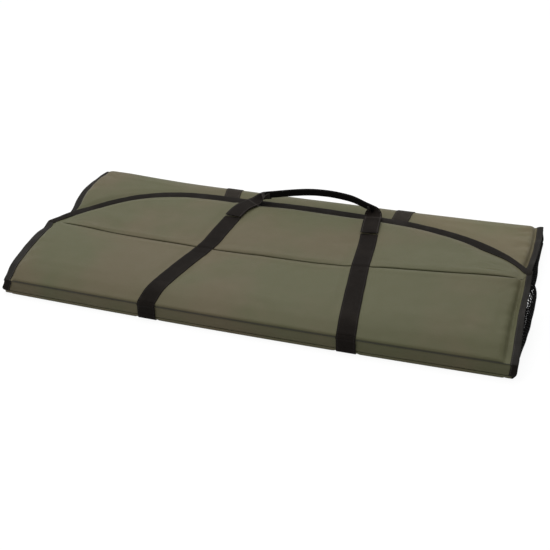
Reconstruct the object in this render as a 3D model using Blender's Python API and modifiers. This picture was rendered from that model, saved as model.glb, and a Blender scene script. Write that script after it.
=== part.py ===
"""Folded unhooking mat: a padded base, two padded walls with arched cover flaps, net ends and webbing.

The mat lies folded as it is carried. Its length runs along X, its front faces -Y and it stands on Z = 0.
The rear wall is folded in first with its cover flap lying forward on the base, then the front wall is
folded over it with its own flap lying back over the rear wall. Lengths are in metres.
"""

from dataclasses import dataclass
from math import atan2, cos, pi, sin, sqrt
from typing import Callable

import bmesh
import bpy
from mathutils import Vector

# Driving sizes of the whole mat
mat_length = 1.050
mat_width = 0.500
base_height = 0.0255
crease_height = 0.0345
wall_depth = 0.215
flap_depth = 0.205

# Cloth, foam and the gaps between layers
skin = 0.0010
clearance = 0.0003
layer_gap = 0.0005
wall_foam = 0.0119
flap_foam = 0.0039
seam_height = 0.0505

# Sewn hems and the tape folded round them
tape_width = 0.0150
tape_thickness = 0.0008
tape_roll = 0.0006
hem_width = 0.0165
crease_hem = 0.0040
hinge_slit = 0.0010
arch_tape_slack = 0.0004

# Padding steps, measured in from a hem
first_step = 0.0040
second_step = 0.0160
third_step = 0.0400
first_puff_share = 0.55
second_puff_share = 0.84
third_puff_share = 0.95
flap_end_step = 0.0800
flap_crown_step = 0.1200

# Folding creases and seams
crease_ramp = 0.0550
seam_rise_length = 0.0250
seam_fall_length = 0.0300
seam_pinch = 0.0100

# Base tray and spines
lip_height = 0.0080
lip_chamfer = 0.0015
lip_gap = 0.0008
channel_side_gap = 0.0012
channel_step = 0.0015
liner_lip_height = 0.0120
liner_corner = 0.0030
base_end_slope = 0.0400
spine_hollow = 0.0004
spine_tape_foot = 0.0010

# Webbing
webbing_width = 0.0380
webbing_thickness = 0.0014
strap_spacing = 0.4140
strap_offset = 0.0145
strap_left_draw_share = 0.225
strap_right_draw_share = 0.100
webbing_slit = 0.0020

# Front handle, as it lies back over the rear wall
handle_sewn_length = 0.1320
handle_web_start = 0.0012
handle_web_length = 0.0900
handle_web_run_shares = (0.0, 0.33, 0.62, 0.80, 0.92, 1.0)
handle_web_rise = 0.0068
handle_web_rise_shares = (0.0, 0.0, 0.08, 0.30, 0.68, 1.0)
handle_web_turn = 0.0250
handle_web_width_shares = (1.0, 1.0, 1.0, 0.94, 0.78, 0.58)
grip_height = 0.0170
grip_thickness = 0.0046
grip_lean = 0.0040
grip_edge = 0.0014
grip_rise = 0.0175
grip_end_share = 0.25

# Rear handle, pressed flat between the layers
rear_handle_reach = 0.0780
rear_grip_width = 0.0190
rear_grip_thickness = 0.0030

# Net ends
net_wire = 0.0015
net_bulge_front = 0.0145
net_bulge_rear = 0.0040
net_inset = 0.0060
net_margin = 0.0120
net_cell = 0.0078

# Counts and plain shares
arch_power = 4
arch_round_share = 0.8
arch_overrun = 0.0040
slope_step = 0.0010
wall_middle_column_count = 1
wall_middle_row_count = 2
flap_middle_column_count = 7
flap_middle_row_count = 1
net_row_count = 3
grip_step_count = 16
sharp_angle = pi / 4

half_length = mat_length / 2
half_width = mat_width / 2
hem_stack = 2 * skin + clearance
crease_y = half_width - skin / 2

# Heights of the folded layers, from the base upwards
tape_stack = clearance + arch_tape_slack + tape_thickness
rear_floor = base_height + layer_gap + tape_stack
rear_wall_top = rear_floor + hem_stack + wall_foam + 2 * clearance
rear_flap_top = rear_floor + hem_stack + flap_foam + 2 * clearance
front_flap_floor = rear_wall_top + clearance + webbing_thickness + layer_gap + tape_stack
front_wall_floor = (
    rear_flap_top + 2 * clearance + webbing_thickness + rear_grip_thickness + layer_gap
)
crease_floor = crease_height - hem_stack
seam_floor = seam_height - hem_stack
seam_y = crease_y - wall_depth
handle_pivot = handle_sewn_length - seam_y
front_flap_top = front_flap_floor + hem_stack + flap_foam + 2 * clearance
web_drop = clearance + webbing_thickness / 2
handle_pivot_height = front_flap_top + 2 * clearance + webbing_thickness

FRONT = -1
REAR = 1
LEFT = -1
RIGHT = 1


@dataclass(frozen=True)
class Panel:
    """A padded panel that starts at a fold line and runs across the mat to its free edge."""

    fold_y: float
    toward: int
    depth: Callable[[float], float]
    floor: Callable[[float], float]
    foam: float
    columns: tuple
    column_puff: tuple
    near: tuple
    near_puff: tuple
    far: tuple
    far_puff: tuple
    middle_rows: int
    slant: Callable[[float], float]

    def rows(self, x: float) -> list:
        """Distances from the fold line of each row at this place along the mat."""
        depth = self.depth(x)
        stretch = self.slant(x)
        far = [depth - step * stretch for step in reversed(self.far)]
        near = list(self.near)
        squeeze = depth / (near[-1] + self.far[-1] * stretch + first_step)
        if squeeze < 1:
            near = [step * squeeze for step in near]
            far = [depth - (depth - place) * squeeze for place in far]
        gap = (far[0] - near[-1]) / (self.middle_rows + 1)
        middle = [near[-1] + gap * (step + 1) for step in range(self.middle_rows)]
        return near + middle + far

    def row_puff(self) -> list:
        """How full the padding is at each row, from 0 at a hem to 1."""
        return list(self.near_puff) + [1.0] * self.middle_rows + list(reversed(self.far_puff))

    def place(self, column: int, row: int) -> tuple:
        """X, Y, the height of the underside and the fullness of one grid point."""
        x = self.columns[column]
        distance = self.rows(x)[row]
        puff = self.column_puff[column] * self.row_puff()[row]
        return x, self.fold_y + self.toward * distance, self.floor(distance), puff

    def top(self, distance: float) -> float:
        """Height of the cover's outside at this distance from the fold, away from the ends."""
        rows = self.rows(0)
        puffs = self.row_puff()
        for index in range(len(rows) - 1):
            if distance <= rows[index + 1]:
                break
        span = rows[index + 1] - rows[index]
        share = min(max((distance - rows[index]) / span, 0), 1)
        low = self.floor(rows[index]) + self.loft(puffs[index])
        high = self.floor(rows[index + 1]) + self.loft(puffs[index + 1])
        return low + (high - low) * share

    def loft(self, puff: float) -> float:
        """Thickness of the whole panel where the padding is this full."""
        return hem_stack + puff * (self.foam + 2 * clearance)


def smooth(share: float) -> float:
    """An even ease from 0 to 1."""
    share = min(max(share, 0), 1)
    return share * share * (3 - 2 * share)


def blend(first: float, second: float, share: float) -> float:
    """The value this share of the way from the first to the second."""
    return first + (second - first) * share


def clear_scene() -> None:
    """Remove what the scene holds before the mat is made."""
    for obj in list(bpy.data.objects):
        bpy.data.objects.remove(obj, do_unlink=True)


def finish(name: str, color: tuple, roughness: float, metallic: float = 0.0):
    """One material with a plain Principled surface."""
    material = bpy.data.materials.new(name)
    material.use_nodes = True
    surface = material.node_tree.nodes["Principled BSDF"]
    surface.inputs["Base Color"].default_value = (*color, 1.0)
    surface.inputs["Roughness"].default_value = roughness
    surface.inputs["Metallic"].default_value = metallic
    return material


def empty_at(name: str, place: tuple, collection, parent=None):
    """A parent empty that sits on a fold line."""
    empty = bpy.data.objects.new(name, None)
    collection.objects.link(empty)
    empty.location = place
    if parent:
        empty.parent = parent
        empty.location = Vector(place) - world_place(parent)
    return empty


def world_place(obj) -> Vector:
    """Where an unturned object stands, through all its parents."""
    place = Vector(obj.location)
    while obj.parent:
        obj = obj.parent
        place += Vector(obj.location)
    return place


def add_object(name: str, bm, collection, material, parent):
    """Make the object of a finished bmesh, with its origin on its body's fold line."""
    origin = world_place(parent)
    bmesh.ops.translate(bm, verts=bm.verts, vec=-origin)
    mesh = bpy.data.meshes.new(name)
    bm.to_mesh(mesh)
    bm.free()
    mesh.materials.append(material)
    mesh.shade_smooth()
    mesh.set_sharp_from_angle(angle=sharp_angle)
    obj = bpy.data.objects.new(name, mesh)
    obj.parent = parent
    collection.objects.link(obj)
    return obj


def grid_verts(bm, columns: int, rows: int) -> dict:
    """A flat unit grid, and its points by column and row."""
    made = bmesh.ops.create_grid(bm, x_segments=columns, y_segments=rows, size=1)
    found = {}
    for vert in made["verts"]:
        column = round((vert.co.x + 1) / 2 * columns)
        row = round((vert.co.y + 1) / 2 * rows)
        found[column, row] = vert
    return found


def block(bm, columns: int, rows: int, low: Callable, high: Callable, mirrored: bool) -> None:
    """A closed block between two grids, whose points are placed by column and row."""
    under = grid_verts(bm, columns, rows)
    over = grid_verts(bm, columns, rows)
    bmesh.ops.translate(bm, verts=list(over.values()), vec=(0, 0, 1))
    rims = [edge for edge in bm.edges if edge.is_boundary]
    bmesh.ops.bridge_loops(bm, edges=rims)
    bmesh.ops.recalc_face_normals(bm, faces=bm.faces)
    if mirrored:
        bmesh.ops.reverse_faces(bm, faces=bm.faces)
    for verts, place in ((under, low), (over, high)):
        for (column, row), vert in verts.items():
            vert.co = place(column, row)


def layer(name: str, shape: Panel, low: Callable, high: Callable, inner: bool, build: dict):
    """One closed layer of a panel between two heights, which are functions of a grid point."""
    columns = list(range(len(shape.columns)))
    rows = list(range(len(shape.row_puff())))
    if inner:
        columns = [column for column in columns if shape.column_puff[column] > 0]
        rows = [row for row in rows if shape.row_puff()[row] > 0]

    def placed(height):
        def place(column, row):
            x, y, floor, puff = shape.place(columns[column], rows[row])
            return x, y, height(floor, puff)

        return place

    bm = bmesh.new()
    block(bm, len(columns) - 1, len(rows) - 1, placed(low), placed(high), shape.toward < 0)
    return add_object(name, bm, build["collection"], build["material"], build["parent"])


def padded_panel(prefix: str, shape: Panel, body, collection, cloth, lining, foam) -> None:
    """The cover, foam and lining of one panel."""
    fill = shape.foam + 2 * clearance

    def lining_low(floor, _puff):
        return floor

    def lining_high(floor, _puff):
        return floor + skin

    def foam_low(floor, _puff):
        return floor + skin + clearance

    def foam_high(floor, puff):
        return floor + skin + puff * fill

    def cover_low(floor, puff):
        return floor + skin + clearance + puff * fill

    def cover_high(floor, puff):
        return floor + hem_stack + puff * fill

    build = {"collection": collection, "parent": body}
    layer(f"{prefix}_liner", shape, lining_low, lining_high, False, {**build, "material": lining})
    layer(f"{prefix}_foam", shape, foam_low, foam_high, True, {**build, "material": foam})
    layer(f"{prefix}_cover", shape, cover_low, cover_high, False, {**build, "material": cloth})


def strip(name: str, stations: list, thickness: float, collection, material, parent):
    """A band of even thickness through rows of points, one row for each station along it."""
    bm = bmesh.new()
    across = len(stations[0]) - 1
    verts = grid_verts(bm, len(stations) - 1, across)
    for (column, row), vert in verts.items():
        vert.co = stations[column][row]
    obj = add_object(name, bm, collection, material, parent)
    solid = obj.modifiers.new("Thickness", "SOLIDIFY")
    solid.thickness = thickness
    solid.offset = 0
    solid.use_even_offset = True
    return obj


def end_columns(steps: tuple, puffs: tuple, middle: int, reach: float) -> tuple:
    """Places along the mat and their fullness, alike at both ends."""
    left = [-reach + step for step in steps]
    right = [-place for place in reversed(left)]
    gap = (right[0] - left[-1]) / (middle + 1)
    inner = [left[-1] + gap * (step + 1) for step in range(middle)]
    fullness = list(puffs) + [1.0] * middle + list(reversed(puffs))
    return tuple(left + inner + right), tuple(fullness)


def straight(_x: float) -> float:
    """The slant of a straight edge."""
    return 1.0


def arch_depth(x: float) -> float:
    """Depth of a cover flap at this place along the mat."""
    share = abs(x) / (half_length + arch_overrun)
    return flap_depth * (1 - share**arch_power) ** arch_round_share


def arch_slant(x: float) -> float:
    """How much longer a step across the arched hem is when it is measured along Y."""
    side = min(abs(x) + slope_step, half_length)
    rise = (arch_depth(side - slope_step) - arch_depth(side)) / slope_step
    return sqrt(1 + rise * rise)


def wall_panel(toward: int, floor: Callable) -> Panel:
    """A side wall: straight hems at both ends, sewn down at the crease and at the seam."""
    steps = (
        0,
        hem_width,
        hem_width + first_step,
        hem_width + second_step,
        hem_width + third_step,
    )
    puffs = (0, 0, first_puff_share, second_puff_share, third_puff_share)
    columns, column_puff = end_columns(steps, puffs, wall_middle_column_count, half_length)
    fold = -toward * crease_y
    return Panel(
        fold_y=fold,
        toward=toward,
        depth=lambda _x: wall_depth - hinge_slit,
        floor=floor,
        foam=wall_foam,
        columns=columns,
        column_puff=column_puff,
        near=(hinge_slit, *(crease_hem + step for step in (0, seam_pinch, second_step, third_step))),
        near_puff=(0, 0, first_puff_share, second_puff_share, third_puff_share),
        far=(0, hinge_slit, seam_pinch, seam_rise_length),
        far_puff=(0, 0, first_puff_share, third_puff_share),
        middle_rows=wall_middle_row_count,
        slant=straight,
    )


def flap_panel(toward: int, floor: Callable) -> Panel:
    """A cover flap: straight where it is sewn to its wall, arched at its free edge."""
    steps = (0, hem_width, crease_ramp - second_step, crease_ramp, flap_end_step, flap_crown_step)
    puffs = (0, 0, 0, first_puff_share, second_puff_share, third_puff_share)
    columns, column_puff = end_columns(steps, puffs, flap_middle_column_count, half_length)
    return Panel(
        fold_y=-toward * seam_y,
        toward=toward,
        depth=arch_depth,
        floor=floor,
        foam=flap_foam,
        columns=columns,
        column_puff=column_puff,
        near=(hinge_slit, 2 * hinge_slit, seam_pinch, seam_rise_length),
        near_puff=(0, 0, first_puff_share, third_puff_share),
        far=(0, hem_width, hem_width + first_step, hem_width + second_step),
        far_puff=(0, 0, first_puff_share, third_puff_share),
        middle_rows=flap_middle_row_count,
        slant=arch_slant,
    )


def front_wall_height(distance: float) -> float:
    """Underside of the front wall: up from the crease on to the layers below, then up to the seam."""
    height = blend(crease_floor, front_wall_floor, smooth(distance / crease_ramp))
    last = (distance - (wall_depth - seam_rise_length)) / seam_rise_length
    return blend(height, seam_floor, smooth(last))


def front_flap_height(distance: float) -> float:
    """Underside of the front flap: down from the seam on to the rear wall."""
    return blend(seam_floor, front_flap_floor, min(distance / seam_fall_length, 1))


def rear_wall_height(distance: float) -> float:
    """Underside of the rear wall: down from the crease on to the base."""
    return blend(crease_floor, rear_floor, smooth(distance / crease_ramp))


def rear_flap_height(_distance: float) -> float:
    """Underside of the rear flap, flat on the base."""
    return rear_floor


def strap_centre(side: int, distance: float) -> float:
    """Where a strap lies along the mat; the left strap leans in more than the right one."""
    draw_share = strap_left_draw_share if side == LEFT else strap_right_draw_share
    return strap_offset + side * (strap_spacing / 2 - draw_share * distance)


def surface_strap(name: str, side: int, shape: Panel, reach: tuple, sewn: dict, body) -> None:
    """Webbing sewn flat on a panel: reach is its crease's distance and its two ends from the fold."""
    before, low, high = reach
    inner = [place for place in shape.rows(0) if low + webbing_slit <= place <= high - webbing_slit]
    rows = [low, *inner, high]
    lift = clearance + webbing_thickness / 2
    stations = []
    for place in rows:
        centre = strap_centre(side, before + place)
        y = shape.fold_y + shape.toward * place
        z = shape.top(place) + lift
        stations.append([(centre - webbing_width / 2, y, z), (centre + webbing_width / 2, y, z)])
    strip(name, stations, webbing_thickness, sewn["collection"], sewn["material"], body)


def tape_section(floor: float, slack: float) -> list:
    """A tape's section as pairs: distance out of the hem's edge, and height."""
    low = floor - clearance - slack - tape_thickness / 2
    high = floor + hem_stack + clearance + slack + tape_thickness / 2
    out = clearance + slack + tape_thickness / 2 + tape_roll / 2
    roll = (out + tape_roll, (low + high) / 2)
    return [(-tape_width, low), (out, low), roll, (out, high), (-tape_width, high)]


def end_tape(name: str, side: int, shape: Panel, collection, material, body) -> None:
    """Tape folded round the hem at one end of a wall."""
    stations = []
    for place in shape.rows(half_length):
        y = shape.fold_y + shape.toward * place
        section = tape_section(shape.floor(place), 0)
        stations.append([(side * (half_length + out), y, z) for out, z in section])
    strip(name, stations, tape_thickness, collection, material, body)


def arch_tape(name: str, shape: Panel, collection, material, body) -> None:
    """Tape folded round the arched hem of a cover flap."""
    edge = [(x, shape.depth(x)) for x in shape.columns]
    stations = []
    for index, (x, depth) in enumerate(edge):
        before = edge[max(index - 1, 0)]
        after = edge[min(index + 1, len(edge) - 1)]
        heading = atan2(after[1] - before[1], after[0] - before[0])
        if index in (0, len(edge) - 1):
            heading = 0
        share = min(1, (depth - 2 * hinge_slit) / (tape_width + tape_roll))
        row = []
        for out, _height in tape_section(0, arch_tape_slack):
            reach = out * share if out < 0 else out
            along = x - sin(heading) * reach
            distance = depth + cos(heading) * reach
            row.append((along, distance))
        floor = shape.floor(depth)
        heights = [height for _out, height in tape_section(floor, arch_tape_slack)]
        stations.append(
            [(x_, shape.fold_y + shape.toward * d, z) for (x_, d), z in zip(row, heights)]
        )
    strip(name, stations, tape_thickness, collection, material, body)


def offset_path(points: list, distance: float) -> list:
    """Points of a path in the YZ plane moved sideways by a distance, with mitred corners."""
    moved = []
    for index, point in enumerate(points):
        here = Vector(point)
        normals = []
        if index > 0:
            step = (here - Vector(points[index - 1])).normalized()
            normals.append(Vector((step.y, -step.x)))
        if index < len(points) - 1:
            step = (Vector(points[index + 1]) - here).normalized()
            normals.append(Vector((step.y, -step.x)))
        total = normals[0] + normals[-1]
        moved.append(here + total * (distance * 2 / total.length_squared))
    return moved


def tray_path(rise: float) -> list:
    """Outside of the base cover from its front lip, under the base, to its rear lip."""
    front = [
        (-half_width, lip_height),
        (-half_width, rise + lip_chamfer),
        (-half_width + lip_chamfer, rise),
    ]
    return front + [(-y, z) for y, z in reversed(front)]


def base_columns() -> list:
    """Places along the base where its underside changes height, with the height there."""
    rise = webbing_thickness + clearance
    hem = half_length - hem_width
    places = [(-half_length, rise), (-hem, rise), (-hem + channel_step, 0)]
    for side in (LEFT, RIGHT):
        centre = strap_centre(side, 0)
        half = webbing_width / 2 + channel_side_gap
        places += [
            (centre - half - channel_step, 0),
            (centre - half, rise),
            (centre + half, rise),
            (centre + half + channel_step, 0),
        ]
    places += [(hem - channel_step, 0), (hem, rise), (half_length, rise)]
    return places


def base_end_share(x: float) -> float:
    """Fullness of the base near its ends, from 0 at a hem to 1."""
    inside = (half_length - hem_width - abs(x)) / base_end_slope
    return sqrt(smooth(inside)) if inside > 0 else 0.0


def build_base(collection, cloth, lining, foam, tape, webbing, body) -> None:
    """The base pad, its spines and the straps that run under it."""
    stations = []
    for x, rise in base_columns():
        path = offset_path(tray_path(rise), -skin / 2)
        stations.append([(x, y, z) for y, z in path])
    strip("base_cover", stations, skin, collection, cloth, body)

    rise = webbing_thickness + clearance
    hem_high = rise + skin + clearance + skin / 2
    lip_y = half_width - skin - 2 * lip_gap - skin / 2
    profile = [
        (-lip_y, liner_lip_height),
        (-lip_y, base_height - skin / 2 - liner_corner),
        (-lip_y + liner_corner, base_height - skin / 2),
    ]
    profile += [(0, base_height - skin / 2)] + [(-y, z) for y, z in reversed(profile)]
    steps = (0, hem_width, hem_width + first_step, hem_width + second_step, hem_width + third_step)
    columns, _fullness = end_columns(steps, steps, 1, half_length)
    stations = []
    for x in columns:
        share = base_end_share(x)
        stations.append([(x, y, blend(hem_high, z, share)) for y, z in profile])
    strip("base_liner", stations, skin, collection, lining, body)

    foam_columns = [x for x in columns if base_end_share(x) > 0]
    foam_low = rise + skin + clearance
    inset = lip_y - skin / 2 - clearance
    section = [(-inset, base_height - skin - liner_corner), (-inset + liner_corner, base_height - skin)]
    section += [(-y, z) for y, z in reversed(section)]

    def foam_under(column, row):
        return foam_columns[column], section[row][0], foam_low

    def foam_over(column, row):
        x = foam_columns[column]
        y, z = section[row]
        return x, y, blend(hem_high, z, base_end_share(x)) - skin / 2 - clearance

    bm = bmesh.new()
    block(bm, len(foam_columns) - 1, len(section) - 1, foam_under, foam_over, False)
    add_object("base_foam", bm, collection, foam, body)

    for end, name in ((FRONT, "front"), (REAR, "rear")):
        y = end * (half_width - skin / 2)
        low = lip_height + lip_gap
        high = crease_height - 2 * lip_gap
        seat_high = crease_floor - tape_stack - clearance
        stations = []
        for x in (-half_length, 0, half_length):
            hollow = spine_hollow * (1 - abs(x) / half_length)
            stations.append([(x, y, low), (x, y - end * hollow, (low + high) / 2), (x, y, high)])
        strip(f"{name}_spine", stations, skin, collection, cloth, body)
        inner = half_width - skin - clearance - tape_thickness / 2
        outer = half_width + clearance + tape_thickness / 2
        for side, label in ((LEFT, "left"), (RIGHT, "right")):
            fold = half_length + clearance + tape_thickness / 2
            stations = []
            for share in (0, 1):
                foot = blend(spine_tape_foot, high, share)
                seat = blend(low, seat_high, share)
                start = half_length - tape_width
                stations.append(
                    [
                        (side * start, end * inner, seat),
                        (side * fold, end * inner, seat),
                        (side * (fold + tape_roll), end * (inner + outer) / 2, (foot + seat) / 2),
                        (side * fold, end * outer, foot),
                        (side * start, end * outer, foot),
                    ]
                )
            strip(f"{name}_spine_tape_{label}", stations, tape_thickness, collection, tape, body)

    for side, label in ((LEFT, "left"), (RIGHT, "right")):
        reach = lip_y - skin
        stations = []
        for share in (-1, 0, 1):
            section = tape_section(rise, 0)
            stations.append([(side * (half_length + out), share * reach, z) for out, z in section])
        strip(f"base_tape_{label}", stations, tape_thickness, collection, tape, body)
        centre = strap_centre(side, 0)
        path = tray_path(rise)
        top = crease_height - webbing_slit
        path = [(-half_width, top)] + path[1:-1] + [(half_width, top)]
        path = offset_path(path, clearance + webbing_thickness / 2)
        edges = (centre - webbing_width / 2, centre + webbing_width / 2)
        stations = [[(x, y, z) for x in edges] for y, z in path]
        strip(f"base_strap_{label}", stations, webbing_thickness, collection, webbing, body)


def build_front_handle(collection, webbing, body) -> None:
    """Two free webs that run on past the front flap and the folded, sewn grip between them."""
    ends = []
    for side, label in ((LEFT, "left"), (RIGHT, "right")):
        foot = strap_centre(side, wall_depth + handle_sewn_length)
        stations = []
        for run_share, rise_share, width_share in zip(
            handle_web_run_shares, handle_web_rise_shares, handle_web_width_shares
        ):
            centre = foot - side * handle_web_turn * smooth(run_share)
            half = webbing_width / 2 * width_share
            y = handle_pivot + blend(handle_web_start, handle_web_length, run_share)
            z = handle_pivot_height - web_drop + handle_web_rise * rise_share
            stations.append([(centre - half, y, z), (centre + half, y, z)])
        ends.append(Vector((centre - side * half * grip_end_share, y, z)))
        strip(f"front_handle_web_{label}", stations, webbing_thickness, collection, webbing, body)
    seat = webbing_thickness / 2 + clearance
    stations = []
    for step in range(grip_step_count + 1):
        share = step / grip_step_count
        foot = ends[0].lerp(ends[1], share)
        foot.z += seat + grip_rise * sin(pi * share)
        head = foot + Vector((0, -grip_lean, grip_height))
        stations.append([foot, head])
    grip = strip("front_grip", stations, grip_thickness, collection, webbing, body)
    edge = grip.modifiers.new("Edge", "BEVEL")
    edge.width = grip_edge
    edge.segments = 1


def build_rear_handle(collection, webbing, body) -> None:
    """The rear handle, lying flat on the rear flap."""
    z = rear_flap_top + clearance + webbing_thickness / 2
    ends = []
    for side, label in ((LEFT, "left"), (RIGHT, "right")):
        foot = strap_centre(side, wall_depth + handle_sewn_length)
        stations = []
        for share in (0, 1):
            centre = foot - side * handle_web_turn * share
            y = -handle_pivot - webbing_slit - (rear_handle_reach - webbing_slit) * share
            stations.append([(centre - webbing_width / 2, y, z), (centre + webbing_width / 2, y, z)])
        ends.append(centre + side * webbing_width / 2)
        strip(f"rear_handle_web_{label}", stations, webbing_thickness, collection, webbing, body)
    height = z + webbing_thickness / 2 + clearance + rear_grip_thickness / 2
    y = -handle_pivot - rear_handle_reach + rear_grip_width
    half = rear_grip_width / 2
    stations = [[(x, y - half, height), (x, y + half, height)] for x in ends]
    strip("rear_grip", stations, rear_grip_thickness, collection, webbing, body)


def net_end(name: str, side: int, toward: int, top: Callable, collection, material, body) -> None:
    """A net gusset between the base and a folded wall, its slack bulging out of the end of the mat."""
    first = crease_y - net_margin
    last = seam_y + net_margin
    columns = round((first - last) / net_cell)
    bulge = net_bulge_front if toward > 0 else net_bulge_rear
    base_top = tape_section(webbing_thickness + clearance, 0)[-1][1] + tape_thickness / 2
    low = base_top + clearance + net_wire
    bm = bmesh.new()
    verts = grid_verts(bm, columns, net_row_count)
    for (column, row), vert in verts.items():
        share = column / columns
        y = blend(first, last, share)
        high = top(crease_y - y) - clearance - tape_thickness - clearance - net_wire
        across = row / net_row_count
        swell = bulge * sin(pi * across) * sqrt(sin(pi * min(share * 2, 1) / 2))
        vert.co = (side * (half_length - net_inset + swell), -toward * y, blend(low, high, across))
    obj = add_object(name, bm, collection, material, body)
    wires = obj.modifiers.new("Wires", "WIREFRAME")
    wires.thickness = net_wire
    wires.offset = 0
    wires.use_boundary = True
    wires.use_replace = True
    wires.use_even_offset = True


def main() -> None:
    """Build the mat as it lies folded."""
    clear_scene()
    bpy.context.scene.unit_settings.scale_length = 1.0
    collection = bpy.data.collections.new("unhooking_mat")
    bpy.context.scene.collection.children.link(collection)

    cloth = finish("olive_cover_cloth", (0.140, 0.130, 0.085), 0.55)
    lining = finish("olive_lining_cloth", (0.110, 0.105, 0.070), 0.60)
    foam = finish("grey_foam", (0.450, 0.440, 0.420), 0.90)
    tape = finish("black_binding_tape", (0.035, 0.032, 0.030), 0.70)
    webbing = finish("black_webbing", (0.018, 0.016, 0.015), 0.65)
    net = finish("black_net_cord", (0.012, 0.012, 0.012), 0.60)

    base = empty_at("base", (0, 0, 0), collection)
    front_wall = empty_at("front_wall", (0, -crease_y, crease_height), collection, base)
    front_flap = empty_at("front_flap", (0, -seam_y, seam_height), collection, front_wall)
    front_handle = empty_at("front_handle", (0, handle_pivot, handle_pivot_height), collection, front_flap)
    rear_wall = empty_at("rear_wall", (0, crease_y, crease_height), collection, base)
    rear_flap = empty_at("rear_flap", (0, seam_y, rear_floor - tape_stack), collection, rear_wall)
    rear_handle = empty_at("rear_handle", (0, -handle_pivot, rear_flap_top), collection, rear_flap)

    build_base(collection, cloth, lining, foam, tape, webbing, base)

    front_shape = wall_panel(1, front_wall_height)
    rear_shape = wall_panel(-1, rear_wall_height)
    front_cover = flap_panel(1, front_flap_height)
    rear_cover = flap_panel(-1, rear_flap_height)
    for prefix, shape, body in (
        ("front_wall", front_shape, front_wall),
        ("front_flap", front_cover, front_flap),
        ("rear_wall", rear_shape, rear_wall),
        ("rear_flap", rear_cover, rear_flap),
    ):
        padded_panel(prefix, shape, body, collection, cloth, lining, foam)

    walls = (0, webbing_slit, wall_depth - webbing_slit)
    flaps = (wall_depth, webbing_slit, handle_sewn_length - webbing_slit)
    sewn = {"collection": collection, "material": webbing}
    for side, label in ((LEFT, "left"), (RIGHT, "right")):
        surface_strap(f"front_wall_strap_{label}", side, front_shape, walls, sewn, front_wall)
        surface_strap(f"front_flap_strap_{label}", side, front_cover, flaps, sewn, front_flap)
        surface_strap(f"rear_wall_strap_{label}", side, rear_shape, walls, sewn, rear_wall)
        surface_strap(f"rear_flap_strap_{label}", side, rear_cover, flaps, sewn, rear_flap)
        end_tape(f"front_wall_tape_{label}", side, front_shape, collection, tape, front_wall)
        end_tape(f"rear_wall_tape_{label}", side, rear_shape, collection, tape, rear_wall)
        net_end(f"front_net_{label}", side, 1, front_wall_height, collection, net, base)
        net_end(f"rear_net_{label}", side, -1, rear_wall_height, collection, net, base)
    arch_tape("front_flap_tape", front_cover, collection, tape, front_flap)
    arch_tape("rear_flap_tape", rear_cover, collection, tape, rear_flap)
    build_front_handle(collection, webbing, front_handle)
    build_rear_handle(collection, webbing, rear_handle)


main()
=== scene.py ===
"""Looks of the folded unhooking mat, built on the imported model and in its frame, in metres.

The front of the mat faces -Y and its length runs along X. The rear wall and its cover flap are folded in
first, the front wall and its arched flap lie over them, and the handle lies back over the rear edge.
"""

import logging
from dataclasses import dataclass, replace
from enum import Enum
from itertools import accumulate
from math import atan2, cos, exp, pi, radians, sin, sqrt
from typing import Any, Callable, Iterable, Sequence

import bmesh
import bpy
from mathutils import Matrix, Vector, noise


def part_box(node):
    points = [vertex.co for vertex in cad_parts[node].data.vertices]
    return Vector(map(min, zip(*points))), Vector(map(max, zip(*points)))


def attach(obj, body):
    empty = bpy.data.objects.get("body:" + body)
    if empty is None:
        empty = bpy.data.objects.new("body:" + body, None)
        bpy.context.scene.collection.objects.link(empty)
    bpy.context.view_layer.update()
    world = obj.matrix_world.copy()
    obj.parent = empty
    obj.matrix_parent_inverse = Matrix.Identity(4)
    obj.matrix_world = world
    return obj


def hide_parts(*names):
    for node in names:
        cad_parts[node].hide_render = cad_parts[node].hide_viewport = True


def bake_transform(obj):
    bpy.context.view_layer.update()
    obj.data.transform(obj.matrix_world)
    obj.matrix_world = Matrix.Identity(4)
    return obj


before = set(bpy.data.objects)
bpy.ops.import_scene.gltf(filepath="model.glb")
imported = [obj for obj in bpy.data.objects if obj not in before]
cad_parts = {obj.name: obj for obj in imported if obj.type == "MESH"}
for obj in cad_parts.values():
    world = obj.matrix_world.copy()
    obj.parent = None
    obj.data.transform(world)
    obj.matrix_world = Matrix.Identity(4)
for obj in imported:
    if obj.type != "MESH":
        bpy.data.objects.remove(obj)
log = logging.getLogger("unhooking_mat")
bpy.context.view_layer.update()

Piece = bpy.types.Object
Material = bpy.types.Material
Socket = bpy.types.NodeSocket
Place = Callable[[int, int], Vector]
Span = tuple[Sequence, Sequence]


class Side(Enum):
    """An end of the mat along its length."""

    LEFT = -1
    RIGHT = 1

    @property
    def label(self) -> str:
        """The end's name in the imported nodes."""
        return self.name.lower()


class Face(Enum):
    """A long edge of the mat."""

    FRONT = -1
    REAR = 1


class Held(Enum):
    """How a sheet of cloth is held."""

    STRETCHED = "stretched"


def smooth(share: float) -> float:
    """An even ease from 0 to 1."""
    share = min(max(share, 0.0), 1.0)
    return share * share * (3 - 2 * share)


def mixed(first: float, second: float, share: float) -> float:
    """The value this share of the way from the first to the second."""
    return first + (second - first) * share


def shoulder(distance: float, radius: float) -> float:
    """Rounded edge of a pad: 0 at its hem, 1 from this radius inwards."""
    share = min(max(distance / radius, 0.0), 1.0)
    return (1 - (1 - share) ** 2.2) ** (1 / 2.2)


def bell(distance: float, width: float) -> float:
    """A soft bump that is 1 at no distance."""
    return exp(-((distance / width) ** 2))


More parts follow.
